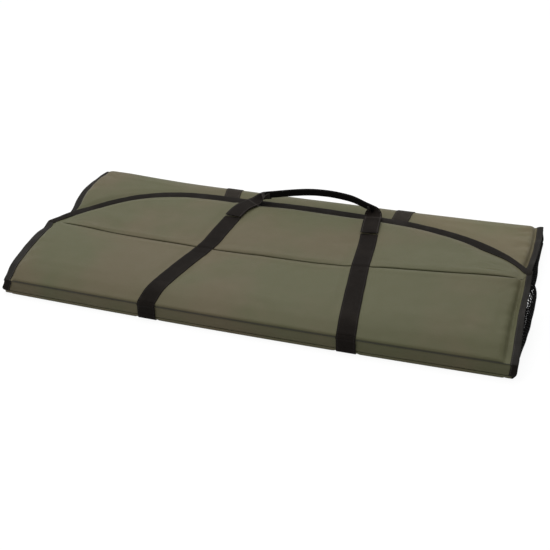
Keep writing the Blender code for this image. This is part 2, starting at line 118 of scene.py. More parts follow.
def profile(knots: Sequence[tuple[float, float]], place: float) -> float:
    """The height of a smooth curve through knots at a place, level past its ends.

    Args:
        knots: the curve's places and heights, in order.
        place: a place along it.

    Returns:
        The height.
    """
    if place <= knots[0][0]:
        return knots[0][1]
    if place >= knots[-1][0]:
        return knots[-1][1]
    index = next(number for number, knot in enumerate(knots) if knot[0] > place) - 1
    slopes = []
    for middle in (index, index + 1):
        before, after = knots[max(middle - 1, 0)], knots[min(middle + 1, len(knots) - 1)]
        slopes.append((after[1] - before[1]) / (after[0] - before[0]))
    (start, low), (stop, high) = knots[index], knots[index + 1]
    span = stop - start
    share = (place - start) / span
    first = low * (1 + 2 * share) * (1 - share) ** 2 + high * share * share * (3 - 2 * share)
    return first + span * share * (1 - share) * (slopes[0] * (1 - share) - slopes[1] * share)


STRAP_LINES = {
    (Face.FRONT, Side.LEFT): ((0.0, -0.1935), (0.215, -0.1514), (0.340, -0.1370), (0.410, -0.1280), (0.47, -0.1270)),
    (Face.FRONT, Side.RIGHT): ((0.0, 0.2145), (0.215, 0.1875), (0.340, 0.1745), (0.4435, 0.1530), (0.47, 0.1480)),
    (Face.REAR, Side.LEFT): ((0.0, -0.1860), (0.40, -0.1150)),
    (Face.REAR, Side.RIGHT): ((0.0, 0.2250), (0.40, 0.1850)),
}


@dataclass(frozen=True)
class Sizes:
    """Sizes that the sub-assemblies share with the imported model."""

    half_length: float = 0.525
    half_width: float = 0.250
    crease_y: float = 0.2495
    crease_z: float = 0.0345
    base_z: float = 0.0255
    wall_depth: float = 0.215
    flap_depth: float = 0.205
    seam_z: float = 0.0505
    skin: float = 0.0010
    gap: float = 0.0003
    hem: float = 0.0165
    crease_hem: float = 0.0040
    fold_slit: float = 0.0010
    ramp: float = 0.0550
    wall_foam: float = 0.0119
    flap_foam: float = 0.0039
    tape_width: float = 0.0150
    tape_skin: float = 0.0008
    webbing_width: float = 0.0380
    webbing_skin: float = 0.0014
    sewn_length: float = 0.1320
    lip_z: float = 0.0080
    bow: float = 0.0068
    cut_length: float = 1.050
    arch_area: float = 0.1826
    end_draw: float = 0.0075
    end_draw_half: float = 0.235
    strap_sink: float = 0.0002
    front_flap_reach: float = 0.269
    arch_hem: float = 0.0222
    arch_tape: float = 0.0224

    @property
    def stack(self) -> float:
        """Thickness of cover and lining where they are sewn together."""
        return 2 * self.skin + self.gap

    @property
    def seam_y(self) -> float:
        """Distance of a wall's seam from the middle, on its own side."""
        return self.crease_y - self.wall_depth

    @property
    def rear_floor(self) -> float:
        """Underside of what lies on the base."""
        return self.base_z + 0.0005 + self.gap + 0.0004 + self.tape_skin

    @property
    def front_wall_floor(self) -> float:
        """Underside of the front wall, away from its crease."""
        return self.rear_floor + self.stack + self.flap_foam + 0.0006 + 0.0006 + self.webbing_skin + 0.0035

    @property
    def front_flap_floor(self) -> float:
        """Underside of the front flap, on the rear wall."""
        rear_top = self.rear_floor + self.stack + self.wall_foam + 0.0006
        return rear_top + self.gap + self.webbing_skin + 0.0005 + 0.0015

    @property
    def webbing_lift(self) -> float:
        """Height of sewn webbing's middle over its cloth."""
        return self.gap + self.webbing_skin / 2 - self.strap_sink

    def drawn_in(self, y: float) -> float:
        """How far the bunched nets draw in the base's end at a place across the mat."""
        return self.end_draw * (1 - smooth(abs(y) / self.end_draw_half))

    def strap_centre(self, side: Side, distance: float, face: Face) -> float:
        """X of a strap's middle at a distance past its crease, along wall and flap."""
        return profile(STRAP_LINES[face, side], distance)

    def near_strap(self, x: float, distance: float, face: Face) -> float:
        """Distance from a place on a panel to the nearer strap's edge, negative under the strap."""
        away = min(abs(x - self.strap_centre(side, distance, face)) for side in Side)
        return away - self.webbing_width / 2


SIZES = Sizes()


def arch_depth(x: float) -> float:
    """Depth of a cover flap at this place along the mat."""
    share = min(abs(x) / (SIZES.half_length + 0.004), 1.0)
    return SIZES.flap_depth * (1 - share**4) ** 0.8


def arch_slant(x: float) -> float:
    """How much longer a step across the arched hem is when it is measured along Y.

    Args:
        x: place along the mat.

    Returns:
        The factor.
    """
    side = min(abs(x) + 0.001, SIZES.half_length)
    rise = (arch_depth(side - 0.001) - arch_depth(side)) / 0.001
    return sqrt(1 + rise * rise)


def uneven(*place: float) -> float:
    """Smooth noise at three coordinates, from -1 to 1."""
    return noise.noise(Vector(place))


def configure(item: Any, **values: Any) -> None:
    """Sets properties of a node, a modifier, a lamp or the like."""
    for key, value in values.items():
        setattr(item, key, value)


class Value:
    """A socket of numbers, on which Python's operators add Math nodes."""

    def __init__(self, recipe: "Recipe", socket: Socket) -> None:
        """Wraps a socket of a recipe's tree."""
        self.recipe = recipe
        self.socket = socket

    def math(self, operation: str, *terms: Any) -> "Value":
        """The result of one Math node on these terms."""
        made = self.recipe.node("ShaderNodeMath", {"operation": operation}, dict(enumerate(terms)))
        return Value(self.recipe, made.outputs[0])

    def __add__(self, other: Any) -> "Value":
        """Sum."""
        return self.math("ADD", self, other)

    def __radd__(self, other: Any) -> "Value":
        """Sum, with the number first."""
        return self.math("ADD", other, self)

    def __sub__(self, other: Any) -> "Value":
        """Difference."""
        return self.math("SUBTRACT", self, other)

    def __rsub__(self, other: Any) -> "Value":
        """Difference, with the number first."""
        return self.math("SUBTRACT", other, self)

    def __mul__(self, other: Any) -> "Value":
        """Product."""
        return self.math("MULTIPLY", self, other)

    def __rmul__(self, other: Any) -> "Value":
        """Product, with the number first."""
        return self.math("MULTIPLY", other, self)

    def wave(self, pitch: float) -> "Value":
        """A sine wave of this pitch, from -1 to 1."""
        return self.math("SINE", self * (2 * pi / pitch))

    def within(self, low: float, high: float, soft: float) -> "Value":
        """1 between two values and 0 outside them, with edges this soft."""
        rise, fall = (self.recipe.ease(self, edge - soft, edge + soft) for edge in (low, high))
        return rise * (1 - fall)


class Recipe:
    """The node tree of one finish, whose cloth coordinates are metres along and across the weave."""

    def __init__(self, name: str, world: bpy.types.World | None = None) -> None:
        """Starts a material with a Principled surface, or works in a world's nodes.

        Args:
            name: the material's name.
            world: the world whose nodes are used instead, if there is one.
        """
        self.material = None if world else bpy.data.materials.new(name)
        owner = world or self.material
        owner.use_nodes = True
        self.tree = owner.node_tree
        self.surface = self.tree.nodes.get("Principled BSDF")

    def node(self, kind: str, settings: dict | None = None, sockets: dict | None = None) -> bpy.types.Node:
        """Adds one node.

        Args:
            kind: the node's type.
            settings: its properties, which are set first.
            sockets: values or links for its inputs, by name or number.

        Returns:
            The node.
        """
        made = self.tree.nodes.new(kind)
        configure(made, **(settings or {}))
        for key, value in (sockets or {}).items():
            self.join(value, made.inputs[key])
        return made

    def join(self, value: Any, socket: Socket) -> None:
        """Links a socket to another, or sets its value."""
        if isinstance(value, Value):
            value = value.socket
        if isinstance(value, Socket):
            self.tree.links.new(value, socket)
        elif isinstance(value, tuple) and len(value) == 3 and socket.type == "RGBA":
            socket.default_value = (*value, 1.0)
        else:
            socket.default_value = value

    def ease(self, value: Any, low: float, high: float) -> Value:
        """A smooth step of a value from 0 at low to 1 at high."""
        made = self.node(
            "ShaderNodeMapRange",
            {"interpolation_type": "SMOOTHSTEP"},
            {"Value": value, "From Min": low, "From Max": high},
        )
        return Value(self, made.outputs[0])

    def grain(self, scale: float, detail: float = 2.0, stretch: tuple = (1.0, 1.0, 1.0)) -> Value:
        """Noise over the object, from about 0 to 1.

        Args:
            scale: how fine it is.
            detail: how much detail it has.
            stretch: how far it is stretched on each axis.

        Returns:
            The noise, from 0 to 1.
        """
        place = self.node("ShaderNodeTexCoord").outputs["Object"]
        place = self.node("ShaderNodeMapping", {}, {"Vector": place, "Scale": stretch}).outputs[0]
        made = self.node("ShaderNodeTexNoise", {}, {"Vector": place, "Scale": scale, "Detail": detail})
        return Value(self, made.outputs["Fac"])

    def weave_place(self) -> tuple[Value, Value]:
        """Metres along and across the cloth, from the piece's own map.

        Returns:
            The lengths along and across the weave.
        """
        place = self.node("ShaderNodeUVMap", {"uv_map": "weave"}).outputs[0]
        parts = self.node("ShaderNodeSeparateXYZ", {}, {0: place}).outputs
        return Value(self, parts[0]), Value(self, parts[1])

    def blend(self, share: Any, first: Any, second: Any, kind: str = "MIX") -> Socket:
        """Mixes two colours.

        Args:
            share: the second colour's share.
            first: one colour.
            second: the other colour.
            kind: how they mix.

        Returns:
            The mixed colour.
        """
        settings = {"data_type": "RGBA", "blend_type": kind}
        made = self.node("ShaderNodeMix", settings, {0: share, 6: first, 7: second})
        return made.outputs[2]

    def raised(self, height: Value, distance: float, strength: float = 1.0) -> None:
        """Gives the surface a bump of this height in metres."""
        made = self.node(
            "ShaderNodeBump", {}, {"Height": height, "Distance": distance, "Strength": strength}
        )
        self.join(made.outputs[0], self.surface.inputs["Normal"])

    def lit(self, colour: Socket, light: Value) -> Socket:
        """A colour made lighter or darker."""
        grey = self.node("ShaderNodeCombineColor", {}, {0: light, 1: light, 2: light}).outputs[0]
        return self.blend(1.0, colour, grey, "MULTIPLY")

    def set_surface(self, **values: Any) -> None:
        """Sets or links sockets of the surface, with _ for a space in their names."""
        for key, value in values.items():
            self.join(value, self.surface.inputs[key.replace("_", " ")])


@dataclass(frozen=True)
class CoatedCloth:
    """Plain-woven polyester, coated on its back."""

    name: str
    colour: tuple
    warm: tuple
    green: tuple
    roughness: float = 0.62
    pitch: float = 0.0011
    # shade and shade_width: painted shade. The colour is darkened by this share from just outside the fold line to
    # shade_width in from it, for the seam's shadow.
    shade: float = 0.38
    shade_width: float = 0.0018
    # paler_from and paler: painted light. The colour is made lighter by this share from paler_from on along the cloth.
    paler_from: float = 1.0
    paler: float = 0.0

    def make(self) -> Material:
        """The cloth's material: threads, slubs, faint changes of hue, painted shade along its fold line, painted light
        past paler_from where paler is set, and a dull sheen.

        Returns:
            The material.
        """
        recipe = Recipe(self.name)
        along, across = recipe.weave_place()
        threads = along.wave(self.pitch) * across.wave(self.pitch)
        slub = recipe.grain(90.0, 3.0, (1.0, 9.0, 1.0)) + recipe.grain(90.0, 3.0, (9.0, 1.0, 1.0))
        shade = recipe.ease(recipe.grain(5.0, 3.0), 0.36, 0.64)
        colour = recipe.blend(shade, self.warm, self.green)
        colour = recipe.blend(0.8, self.colour, colour)
        light = 0.89 + slub * 0.06 + threads * 0.035 + recipe.grain(11.0, 3.0) * 0.10
        # Painted shade along the fold line, standing in for the shadow in the seam.
        light = light * (1.0 - across.within(-0.004, self.shade_width, 0.0007) * self.shade)
        # Painted light: lighter past paler_from.
        if self.paler:
            light = light * (1.0 + along.within(self.paler_from, 2.0, 0.10) * self.paler)
        colour = recipe.lit(colour, light)
        recipe.set_surface(Base_Color=colour, Roughness=self.roughness - 0.05 + recipe.grain(40.0) * 0.1)
        recipe.set_surface(Sheen_Weight=0.03, Sheen_Roughness=0.5, Specular_IOR_Level=0.25)
        height = threads * 0.00009 + slub * 0.00012 + recipe.grain(28.0, 3.0) * 0.0012
        recipe.raised(height, 1.0, 0.6)
        return recipe.material


@dataclass(frozen=True)
class RibbedTape:
    """Woven tape or webbing with cross ribs, and a row of stitches along each edge."""

    name: str
    colour: tuple
    light: tuple
    thread: tuple
    width: float = SIZES.webbing_width
    rib: float = 0.0016
    rib_height: float = 0.00014
    stitch_inset: float = 0.0030
    patches: tuple = ()
    roughness: float = 0.7

    def make(self) -> Material:
        """The tape's material: ribs across it, wales along it, worn light places and stitches.

        Returns:
            The material.
        """
        recipe = Recipe(self.name)
        along, across = recipe.weave_place()
        ribs = along.wave(self.rib)
        wales = across.wave(self.rib * 1.7)
        worn = recipe.ease(recipe.grain(22.0, 4.0), 0.45, 0.75)
        colour = recipe.blend(worn * 0.7, self.colour, self.light)
        edges = (self.stitch_inset, self.width - self.stitch_inset)
        near, far = (across.within(edge - 0.0004, edge + 0.0004, 0.0002) for edge in edges)
        stitches = (near + far) * recipe.ease(along.wave(0.0042), -0.35, 0.15)
        for low, high in self.patches:
            area = along.within(low, high, 0.0008)
            cross = (along + across * 0.8).wave(0.0065) * (along - across * 0.8).wave(0.0065)
            marks = area * (0.45 + recipe.ease(cross, 0.1, 0.5) * 0.5)
            stitches = stitches.math("MAXIMUM", stitches, marks)
        colour = recipe.blend(stitches * 0.75, colour, self.thread)
        colour = recipe.lit(colour, 0.9 + ribs * 0.08 + wales * 0.04)
        recipe.set_surface(Base_Color=colour, Roughness=self.roughness + recipe.grain(60.0) * 0.12)
        recipe.set_surface(Specular_IOR_Level=0.06)
        height = ribs * self.rib_height + wales * (self.rib_height * 0.5) + stitches * 0.0003
        recipe.raised(height, 1.0, 0.8)
        return recipe.material


@dataclass(frozen=True)
class Foam:
    """Grey closed-cell foam."""

    name: str
    colour: tuple

    def make(self) -> Material:
        """The foam's material: fine cells and faint stains.

        Returns:
            The material.
        """
        recipe = Recipe(self.name)
        cells = recipe.grain(700.0, 2.0)
        stains = recipe.grain(12.0, 3.0)
        darker = tuple(part * 0.8 for part in self.colour)
        recipe.set_surface(Base_Color=recipe.blend(stains, darker, self.colour), Roughness=0.92)
        recipe.raised(cells * 0.0004, 1.0, 0.6)
        return recipe.material


@dataclass(frozen=True)
class NetCord:
    """Thin knitted cord of the net ends."""

    name: str
    colour: tuple
    light: tuple

    def make(self) -> Material:
        """The cord's material: a twist of fine bright and dark threads.

        Returns:
            The material.
        """
        recipe = Recipe(self.name)
        twist = recipe.grain(900.0, 2.0, (1.0, 1.0, 3.0))
        colour = recipe.blend(recipe.ease(twist, 0.4, 0.7), self.colour, self.light)
        recipe.set_surface(Base_Color=colour, Roughness=0.5 + recipe.grain(80.0) * 0.1)
        recipe.set_surface(Specular_IOR_Level=0.05)
        recipe.raised(twist * 0.0002, 1.0, 0.7)
        return recipe.material


@dataclass
class Finishes:
    """The materials of the whole mat."""

    cover: Material
    wall_cover: Material
    rear_cover: Material
    lining: Material
    foam: Material
    tape: Material
    end_tape: Material
    webbing: Material
    faded: Material
    handle: Material
    grip: Material
    net: Material

    @classmethod
    def make(cls) -> "Finishes":
        """Mixes every finish.

        Returns:
            The finishes.
        """
        olive, warm, green = (0.094, 0.085, 0.044), (0.106, 0.087, 0.048), (0.083, 0.084, 0.040)
        cover = CoatedCloth("olive_cover_cloth", olive, warm, green)
        # The walls' cloth: stronger painted shade over a wider band along the crease.
        wall = replace(cover, name="olive_wall_cloth", shade=0.72, shade_width=0.0026)
        # The rear wall's cloth: the walls' painted shade, plus painted light that makes it paler from x = 0.24 to its
        # right end.
        rear = replace(wall, name="olive_rear_cloth", paler_from=0.24, paler=0.26)
        dull = (0.080, 0.078, 0.046)
        lining = CoatedCloth("olive_lining_cloth", dull, (0.084, 0.076, 0.046), (0.076, 0.079, 0.045), 0.45, 0.0008)
        thread, dark, dusty = (0.130, 0.120, 0.110), (0.0105, 0.0086, 0.0068), (0.0215, 0.0185, 0.0160)
        tape = RibbedTape("black_binding_tape", dark, dusty, thread, 0.033, 0.0011, 0.00006, 0.0020)
        # End tapes: a lighter copy of the binding tape, painted with the light that falls on their top-facing ends.
        dark, dusty = (0.0250, 0.0232, 0.0210), (0.045, 0.042, 0.039)
        end_tape = replace(tape, name="worn_binding_tape", colour=dark, light=dusty)
        black, worn = (0.0085, 0.0065, 0.0052), (0.0175, 0.0140, 0.0115)
        webbing = RibbedTape("black_webbing", black, worn, (0.045, 0.042, 0.041))
        # Rear-wall webbing: a lighter copy of the black webbing, with the glare of light grazing it painted into its
        # colours.
        faded = RibbedTape("faded_webbing", (0.030, 0.0255, 0.0205), (0.046, 0.040, 0.033), (0.09, 0.08, 0.07))
        patches = ((0.071, 0.0725), (0.098, 0.116))
        handle = RibbedTape("black_handle_webbing", black, worn, thread, patches=patches)
        jet, soot = (0.007, 0.0065, 0.006), (0.012, 0.011, 0.010)
        grip = RibbedTape("black_grip_webbing", jet, soot, (0.02, 0.018, 0.017), 0.040)
        foam = Foam("grey_foam", (0.36, 0.35, 0.33))
        net = NetCord("black_net_cord", (0.0035, 0.0035, 0.0035), (0.010, 0.010, 0.010))
        mixes = (cover, wall, rear, lining, foam, tape, end_tape, webbing, faded, handle, grip, net)
        return cls(*(mix.make() for mix in mixes))


def unit_grid(bm: bmesh.types.BMesh, columns: int, rows: int) -> dict:
    """A flat grid from -1 to 1 of this many cells, and its points by column and row."""
    made = bmesh.ops.create_grid(bm, x_segments=columns, y_segments=rows, size=1)["verts"]
    return {(round((vert.co.x + 1) / 2 * columns), round((vert.co.y + 1) / 2 * rows)): vert for vert in made}


def new_piece(name: str, bm: bmesh.types.BMesh, finish: Material) -> Piece:
    """Makes the object of a finished bmesh, with its place in its mesh.

    Args:
        name: the piece's name.
        bm: the mesh being made.
        finish: its material.

    Returns:
        The piece.
    """
    mesh = bpy.data.meshes.new(name)
    bm.to_mesh(mesh)
    bm.free()
    mesh.materials.append(finish)
    mesh.shade_smooth()
    piece = bpy.data.objects.new(name, mesh)
    bpy.context.scene.collection.objects.link(piece)
    return piece


def woven(
    name: str, along: Sequence[float], across: Sequence, place: Place, finish: Material, flip: bool = False
) -> Piece:
    """One open sheet of cloth, tape or webbing.

    Args:
        name: the piece's name.
        along: metres along the weave at each column.
        across: metres across it at each row, or a list of them for each column.
        place: where the point of a column and row lies.
        finish: its material.
        flip: whether its outside is turned over.

    Returns:
        The piece.
    """
    rows = [across] * len(along) if isinstance(across[0], float) else across
    bm = bmesh.new()
    verts = unit_grid(bm, len(along) - 1, len(rows[0]) - 1)
    weave = bm.loops.layers.uv.new("weave")
    known = {vert: (along[column], rows[column][row]) for (column, row), vert in verts.items()}
    for face in bm.faces:
        for loop in face.loops:
            loop[weave].uv = known[loop.vert]
    for key, vert in verts.items():
        vert.co = place(*key)
    if flip:
        bmesh.ops.reverse_faces(bm, faces=bm.faces)
    return new_piece(name, bm, finish)


def padding(name: str, size: tuple[int, int], under: Place, over: Place, finish: Material) -> Piece:
    """A closed pad between an underside and a top.

    Args:
        name: the piece's name.
        size: how many columns and rows its grid has.
        under: where the underside's point of a column and row lies.
        over: where the top's lies.
        finish: its material.

    Returns:
        The pad.
    """
    bm = bmesh.new()
    verts = unit_grid(bm, *size)
    for vert in bmesh.ops.extrude_face_region(bm, geom=list(bm.faces))["geom"]:
        if isinstance(vert, bmesh.types.BMVert):
            vert.co = over(round((vert.co.x + 1) / 2 * size[0]), round((vert.co.y + 1) / 2 * size[1]))
    for key, vert in verts.items():
        vert.co = under(*key)
    bmesh.ops.recalc_face_normals(bm, faces=bm.faces)
    return new_piece(name, bm, finish)


def modify(piece: Piece, name: str, kind: str, **values: Any) -> Piece:
    """Adds a modifier with these settings to a piece, and returns the piece."""
    configure(piece.modifiers.new(name, kind), **values)
    return piece


def thicken(piece: Piece, thickness: float, offset: float = 0.0) -> Piece:
    """Gives a sheet its thickness, and returns it."""
    return modify(piece, "Thickness", "SOLIDIFY", thickness=thickness, offset=offset)


def soften(piece: Piece, width: float) -> Piece:
    """Rounds a piece's sharp edges, and returns it."""
    return modify(piece, "Edge", "BEVEL", width=width, segments=2, limit_method="ANGLE", angle_limit=radians(50))


def hemmed_columns(steps: Sequence[float], inner: int) -> list[float]:
    """Places along the mat, closer together at its end hems.

    Args:
        steps: distances from an end of those at its hem.
        inner: how many even gaps lie between the two ends' hems.

    Returns:
        The places.
    """
    left = [-SIZES.half_length + step for step in steps]
    gap = -2 * left[-1] / inner
    middle = [left[-1] + gap * (step + 1) for step in range(inner - 1)]
    return left + middle + [-place for place in reversed(left)]


def running_length(points: Sequence[Vector]) -> list[float]:
    """Distance along a path at each of its points."""
    steps = ((second - first).length for first, second in zip(points, points[1:]))
    return list(accumulate(steps, initial=0.0))


def bow(piece: Piece) -> None:
    """Bends a finished piece with the whole mat, which lies in a shallow curve along its length."""
    for vert in piece.data.vertices:
        vert.co.y -= SIZES.bow * (0.5 - (vert.co.x / SIZES.half_length) ** 2)


def settle(piece: Piece, body: str, slot: str, *nodes: str) -> None:
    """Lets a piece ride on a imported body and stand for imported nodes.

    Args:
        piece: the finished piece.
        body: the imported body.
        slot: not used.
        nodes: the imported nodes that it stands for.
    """
    bow(piece)
    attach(piece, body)
    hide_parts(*nodes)
    log.info("%s rides on %s", piece.name, body)


def bridge(piece: Piece, bodies: tuple[str, str], span: Span, slot: str, *nodes: str) -> None:
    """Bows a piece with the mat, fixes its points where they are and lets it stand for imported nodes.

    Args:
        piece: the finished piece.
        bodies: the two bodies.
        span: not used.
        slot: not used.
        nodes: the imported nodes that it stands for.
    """
    bow(piece)
    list(bodies)
    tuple(span[0])
    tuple(span[1])
    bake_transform(piece)
    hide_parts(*nodes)
    log.info("%s bends from %s to %s", piece.name, *bodies)


def tape_round(
    name: str, count: int, place: Callable[[int, float, float], Vector], stack: float, finish: Material, flip: bool,
    seed: float = 0.0, width: float = SIZES.tape_width,
) -> Piece:
    """Binding tape folded round a hem.

    Args:
        name: the piece's name.
        count: how many steps it has along the hem.
        place: the point of a step at a distance out of the hem and a height over its underside.
        stack: thickness of the hem.
        finish: its material.
        flip: whether its outside is turned over.
        seed: shifts its small waves.
        width: how far it reaches on to the cloth.

    Returns:
        The piece.
    """
    high = stack + SIZES.gap + SIZES.tape_skin / 2
    low = -SIZES.gap - SIZES.tape_skin / 2
    middle, half = (high + low) / 2, (high - low) / 2
    flange = [(-width, 0.0), (-width * 0.8, 0.0004), (-width * 0.5, 0.0008), (-width * 0.22, 0.0006)]
    section = [(out, high + puff) for out, puff in flange]
    for step in range(7):
        turn = pi / 2 - pi * step / 6
        section.append((0.0021 * cos(turn), middle + (half + 0.0003) * sin(turn)))
    section += [(out, low - puff * 0.4) for out, puff in reversed(flange)]
    across = running_length([Vector((out, up, 0)) for out, up in section])
    along = running_length([place(step, 0.0, 0.0) for step in range(count + 1)])

    def waved(step: int, row: int) -> Vector:
        """A point of the tape, waved a little.

        Args:
            step: its step.
            row: its row.

        Returns:
            The point.
        """
        (out, up), here = section[row], along[step]
        lift = uneven(here * 60, seed, 7.5) * 0.0004 if up > middle else 0.0
        return place(step, out + uneven(here * 38, seed, 0.5) * 0.0006, up + lift)

    return thicken(woven(name, along, across, waved, finish, flip), SIZES.tape_skin)


def band(
    name: str, count: int, place: Callable[[int, float], Vector], finish: Material, flip: bool = False,
    start: float = 0.0, width: float = SIZES.webbing_width, thickness: float = SIZES.webbing_skin,
) -> Piece:
    """A flat length of webbing.

    Args:
        name: the piece's name.
        count: how many steps it has along its length.
        place: the point of a step at a share from -0.5 to 0.5 across it.
        finish: its material.
        flip: whether its outside is turned over.
        start: the weave's running length where this length begins.
        width: its width.
        thickness: its thickness.

    Returns:
        The piece.
    """
    cells = 8
    along = [start + length for length in running_length([place(step, 0.0) for step in range(count + 1)])]
    across = [width * row / cells for row in range(cells + 1)]

    def point(step: int, row: int) -> Vector:
        """A point of the webbing."""
        return place(step, row / cells - 0.5)

    piece = woven(name, along, across, point, finish, flip)
    return soften(thicken(piece, thickness), 0.00045)


@dataclass(frozen=True)
class Pucker:
    """A short dent or ridge in a panel's cloth, at a place along it and a distance from its fold."""

    x: float
    distance: float
    heading: float
    length: float
    width: float
    height: float

    def at(self, x: float, distance: float) -> float:
        """Height of the pucker at a place on the panel.

        Args:
            x: place along the mat.
            distance: from the fold line.

        Returns:
            Its height, below 0 for a dent.
        """
        east, north = x - self.x, distance - self.distance
        turn = radians(self.heading)
        along = east * cos(turn) + north * sin(turn)
        across = north * cos(turn) - east * sin(turn)
        return self.height * bell(along, self.length) * bell(across, self.width)


@dataclass
class Panel:
    """A padded panel: cover, foam and lining between its fold line and its free edge."""

    finishes: Finishes
    prefix: str
    fold_y: float
    toward: int
    floor: Callable[[float], float]
    foam: float
    arched: bool
    warp: Callable[[Vector, float], Vector]
    ruffle: float
    puckers: tuple = ()
    end_hems: tuple[float, float] = (SIZES.hem, SIZES.hem)
    near_hem: float = SIZES.crease_hem
    near_shoulder: float = 0.030
    foot: float = 0.30
    far_shoulder: float = 0.004
    end_shoulder: float = 0.016
    roll: float = 0.0
    cell: float = 0.0046
    slack: tuple = ((-0.525, 0.0), (0.525, 0.0))
    level: float = 1.0
    tape_widths: tuple[float, float] = (SIZES.tape_width, SIZES.tape_width)
    joined: tuple = ()
    sunk: float = 0.0

    def pressed(self, x: float, distance: float) -> float:
        """How far the flap that lies on this panel presses it: 0 outside the flap's edge, 1 under it."""
        return smooth((distance - (SIZES.front_flap_reach - arch_depth(x)) + 0.016) / 0.014) if self.sunk else 0.0

    def attach(self, piece: Piece, slot: str, node: str) -> None:
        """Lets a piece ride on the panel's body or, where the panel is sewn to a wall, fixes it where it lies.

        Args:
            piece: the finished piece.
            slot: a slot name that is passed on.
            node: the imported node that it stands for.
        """
        if self.joined:
            bridge(piece, *self.joined, slot, node)
        else:
            settle(piece, self.prefix, slot, node)

    @property
    def face(self) -> Face:
        """The long edge that this panel folds in from."""
        return Face.FRONT if self.toward > 0 else Face.REAR

    def depth(self, x: float) -> float:
        """Distance from the fold line to the free edge at this place along the mat."""
        if not self.arched:
            return SIZES.wall_depth - SIZES.fold_slit
        return arch_depth(x) + profile(self.slack, x)

    def slant(self, x: float) -> float:
        """How much longer a step across the free edge's hem is along Y."""
        return arch_slant(x) if self.arched else 1.0

    @property
    def before(self) -> float:
        """Distance from the crease to this panel's fold line."""
        return SIZES.wall_depth if self.arched else 0.0

    def columns(self) -> list[float]:
        """Places along the mat of the grid's columns."""
        steps = [0.0, 0.004, 0.008, 0.012, 0.0155, 0.0175, 0.0195, 0.022, 0.025, 0.029, 0.034]
        return hemmed_columns(steps, round((SIZES.half_length * 2 - 0.068) / self.cell))

    def rows(self, x: float) -> list[float]:
        """Distances from the fold line of the grid's rows at this place along the mat.

        Args:
            x: place along the mat.

        Returns:
            The distances.
        """
        depth, slant = self.depth(x), self.slant(x)
        near = [0.0006, 0.0016, 0.0028, 0.0042, 0.0058, 0.0078, 0.0105, 0.0140, 0.0180]
        steps = [0.0, 0.0007, 0.0015, 0.0025, 0.0038, 0.0055, 0.0085, 0.013]
        if self.arched:
            steps = [0.0, 0.007, 0.014, 0.0195, 0.022, 0.024, 0.0265, 0.030, 0.0345, 0.040]
        far = [depth - step * slant for step in reversed(steps)]
        squeeze = depth / (near[-1] + steps[-1] * slant + 0.003)
        if squeeze < 1:
            near = [step * squeeze for step in near]
            far = [depth - (depth - place) * squeeze for place in far]
        inner = round((self.depth(0) - 0.05) / self.cell)
        gap = (far[0] - near[-1]) / (inner + 1)
        return near + [near[-1] + gap * (step + 1) for step in range(inner)] + far

    def fullness(self, x: float, distance: float) -> float:
        """How full the padding is: 0 on a hem, 1 in the middle.

        Args:
            x: place along the mat.
            distance: from the fold line.

        Returns:
            The share.
        """
        end = SIZES.half_length - abs(x) - self.end_hems[1 if x > 0 else 0]
        far = (self.depth(x) - distance) / self.slant(x) - (SIZES.arch_hem if self.arched else 0.0004)
        near = distance - self.near_hem
        rise = self.foot * shoulder(near, 0.0035)
        rise += (1 - self.foot) * sin(pi / 2 * min(max(near / self.near_shoulder, 0.0), 1.0))
        return rise * shoulder(end, self.end_shoulder) * shoulder(far, self.far_shoulder)

    def ripple(self, x: float, distance: float) -> float:
        """Small undulations of the cover over its foam.

        Args:
            x: place along the mat.
            distance: from the fold line.

        Returns:
            The height.
        """
        full = self.fullness(x, distance)
        if full <= 0:
            return 0.0
        run = self.before + distance
        free = smooth(SIZES.near_strap(x, run, self.face) / 0.012)
        end = SIZES.half_length - abs(x)
        wide = uneven(x * 5.5 + run * 3, run * 9, self.toward * 3.0)
        fine = uneven(x * 20, run * 24, self.toward * 5.0)
        pull = uneven(x * 9, run * 62, self.toward * 9.0) * bell(end - 0.022, 0.030)
        height = self.ruffle * (1.5 * wide + 0.35 * fine + 1.2 * pull)
        height += sum(pucker.at(x, distance) for pucker in self.puckers)
        height -= 0.0006 * bell(SIZES.near_strap(x, run, self.face), 0.010)
        return height * free * smooth(full) * (1 - 0.8 * self.pressed(x, distance))

    def ground(self, distance: float) -> float:
        """Height of the underside at a distance from the fold line, level past the panel's edges."""
        return self.floor(min(max(distance, 0.0), self.depth(0)))

    def filling(self, x: float, distance: float) -> float:
        """Thickness of the foam and the slack over it at a place."""
        foam = self.foam + 0.0006 - self.sunk * self.pressed(x, distance)
        return self.fullness(x, distance) * min(foam, self.level - self.ground(distance) - SIZES.stack)

    def top(self, x: float, distance: float) -> float:
        """Height of the cover's outside over the panel's underside."""
        return SIZES.stack + self.filling(x, distance) + self.ripple(x, distance)

    def point(self, x: float, distance: float, up: float) -> Vector:
        """Where a place on the panel lies.

        Args:
            x: place along the mat.
            distance: from the fold line.
            up: height over the panel's underside.

        Returns:
            The point in the mat's frame.
        """
        bulge = self.roll * bell(distance - 0.006, 0.0065) * smooth(up / SIZES.stack)
        flat = Vector((x, self.fold_y + self.toward * (distance - bulge), self.ground(distance) + up))
        return self.warp(flat, self.before + distance)

    def sheet(
        self, name: str, height: Callable[[float, float], float], finish: Material, down: bool
    ) -> Piece:
        """The panel's cover or lining at a height, which is a function of the place on it.

        Args:
            name: its name.
            height: height over the underside at a place.
            finish: its material.
            down: whether its outside faces down.

        Returns:
            The piece.
        """
        columns = self.columns()
        rows = [self.rows(x) for x in columns]

        def place(column: int, row: int) -> Vector:
            """A point of the sheet."""
            x, distance = columns[column], rows[column][row]
            return self.point(x, distance, height(x, distance))

        return woven(name, columns, rows, place, finish, (self.toward < 0) != down)

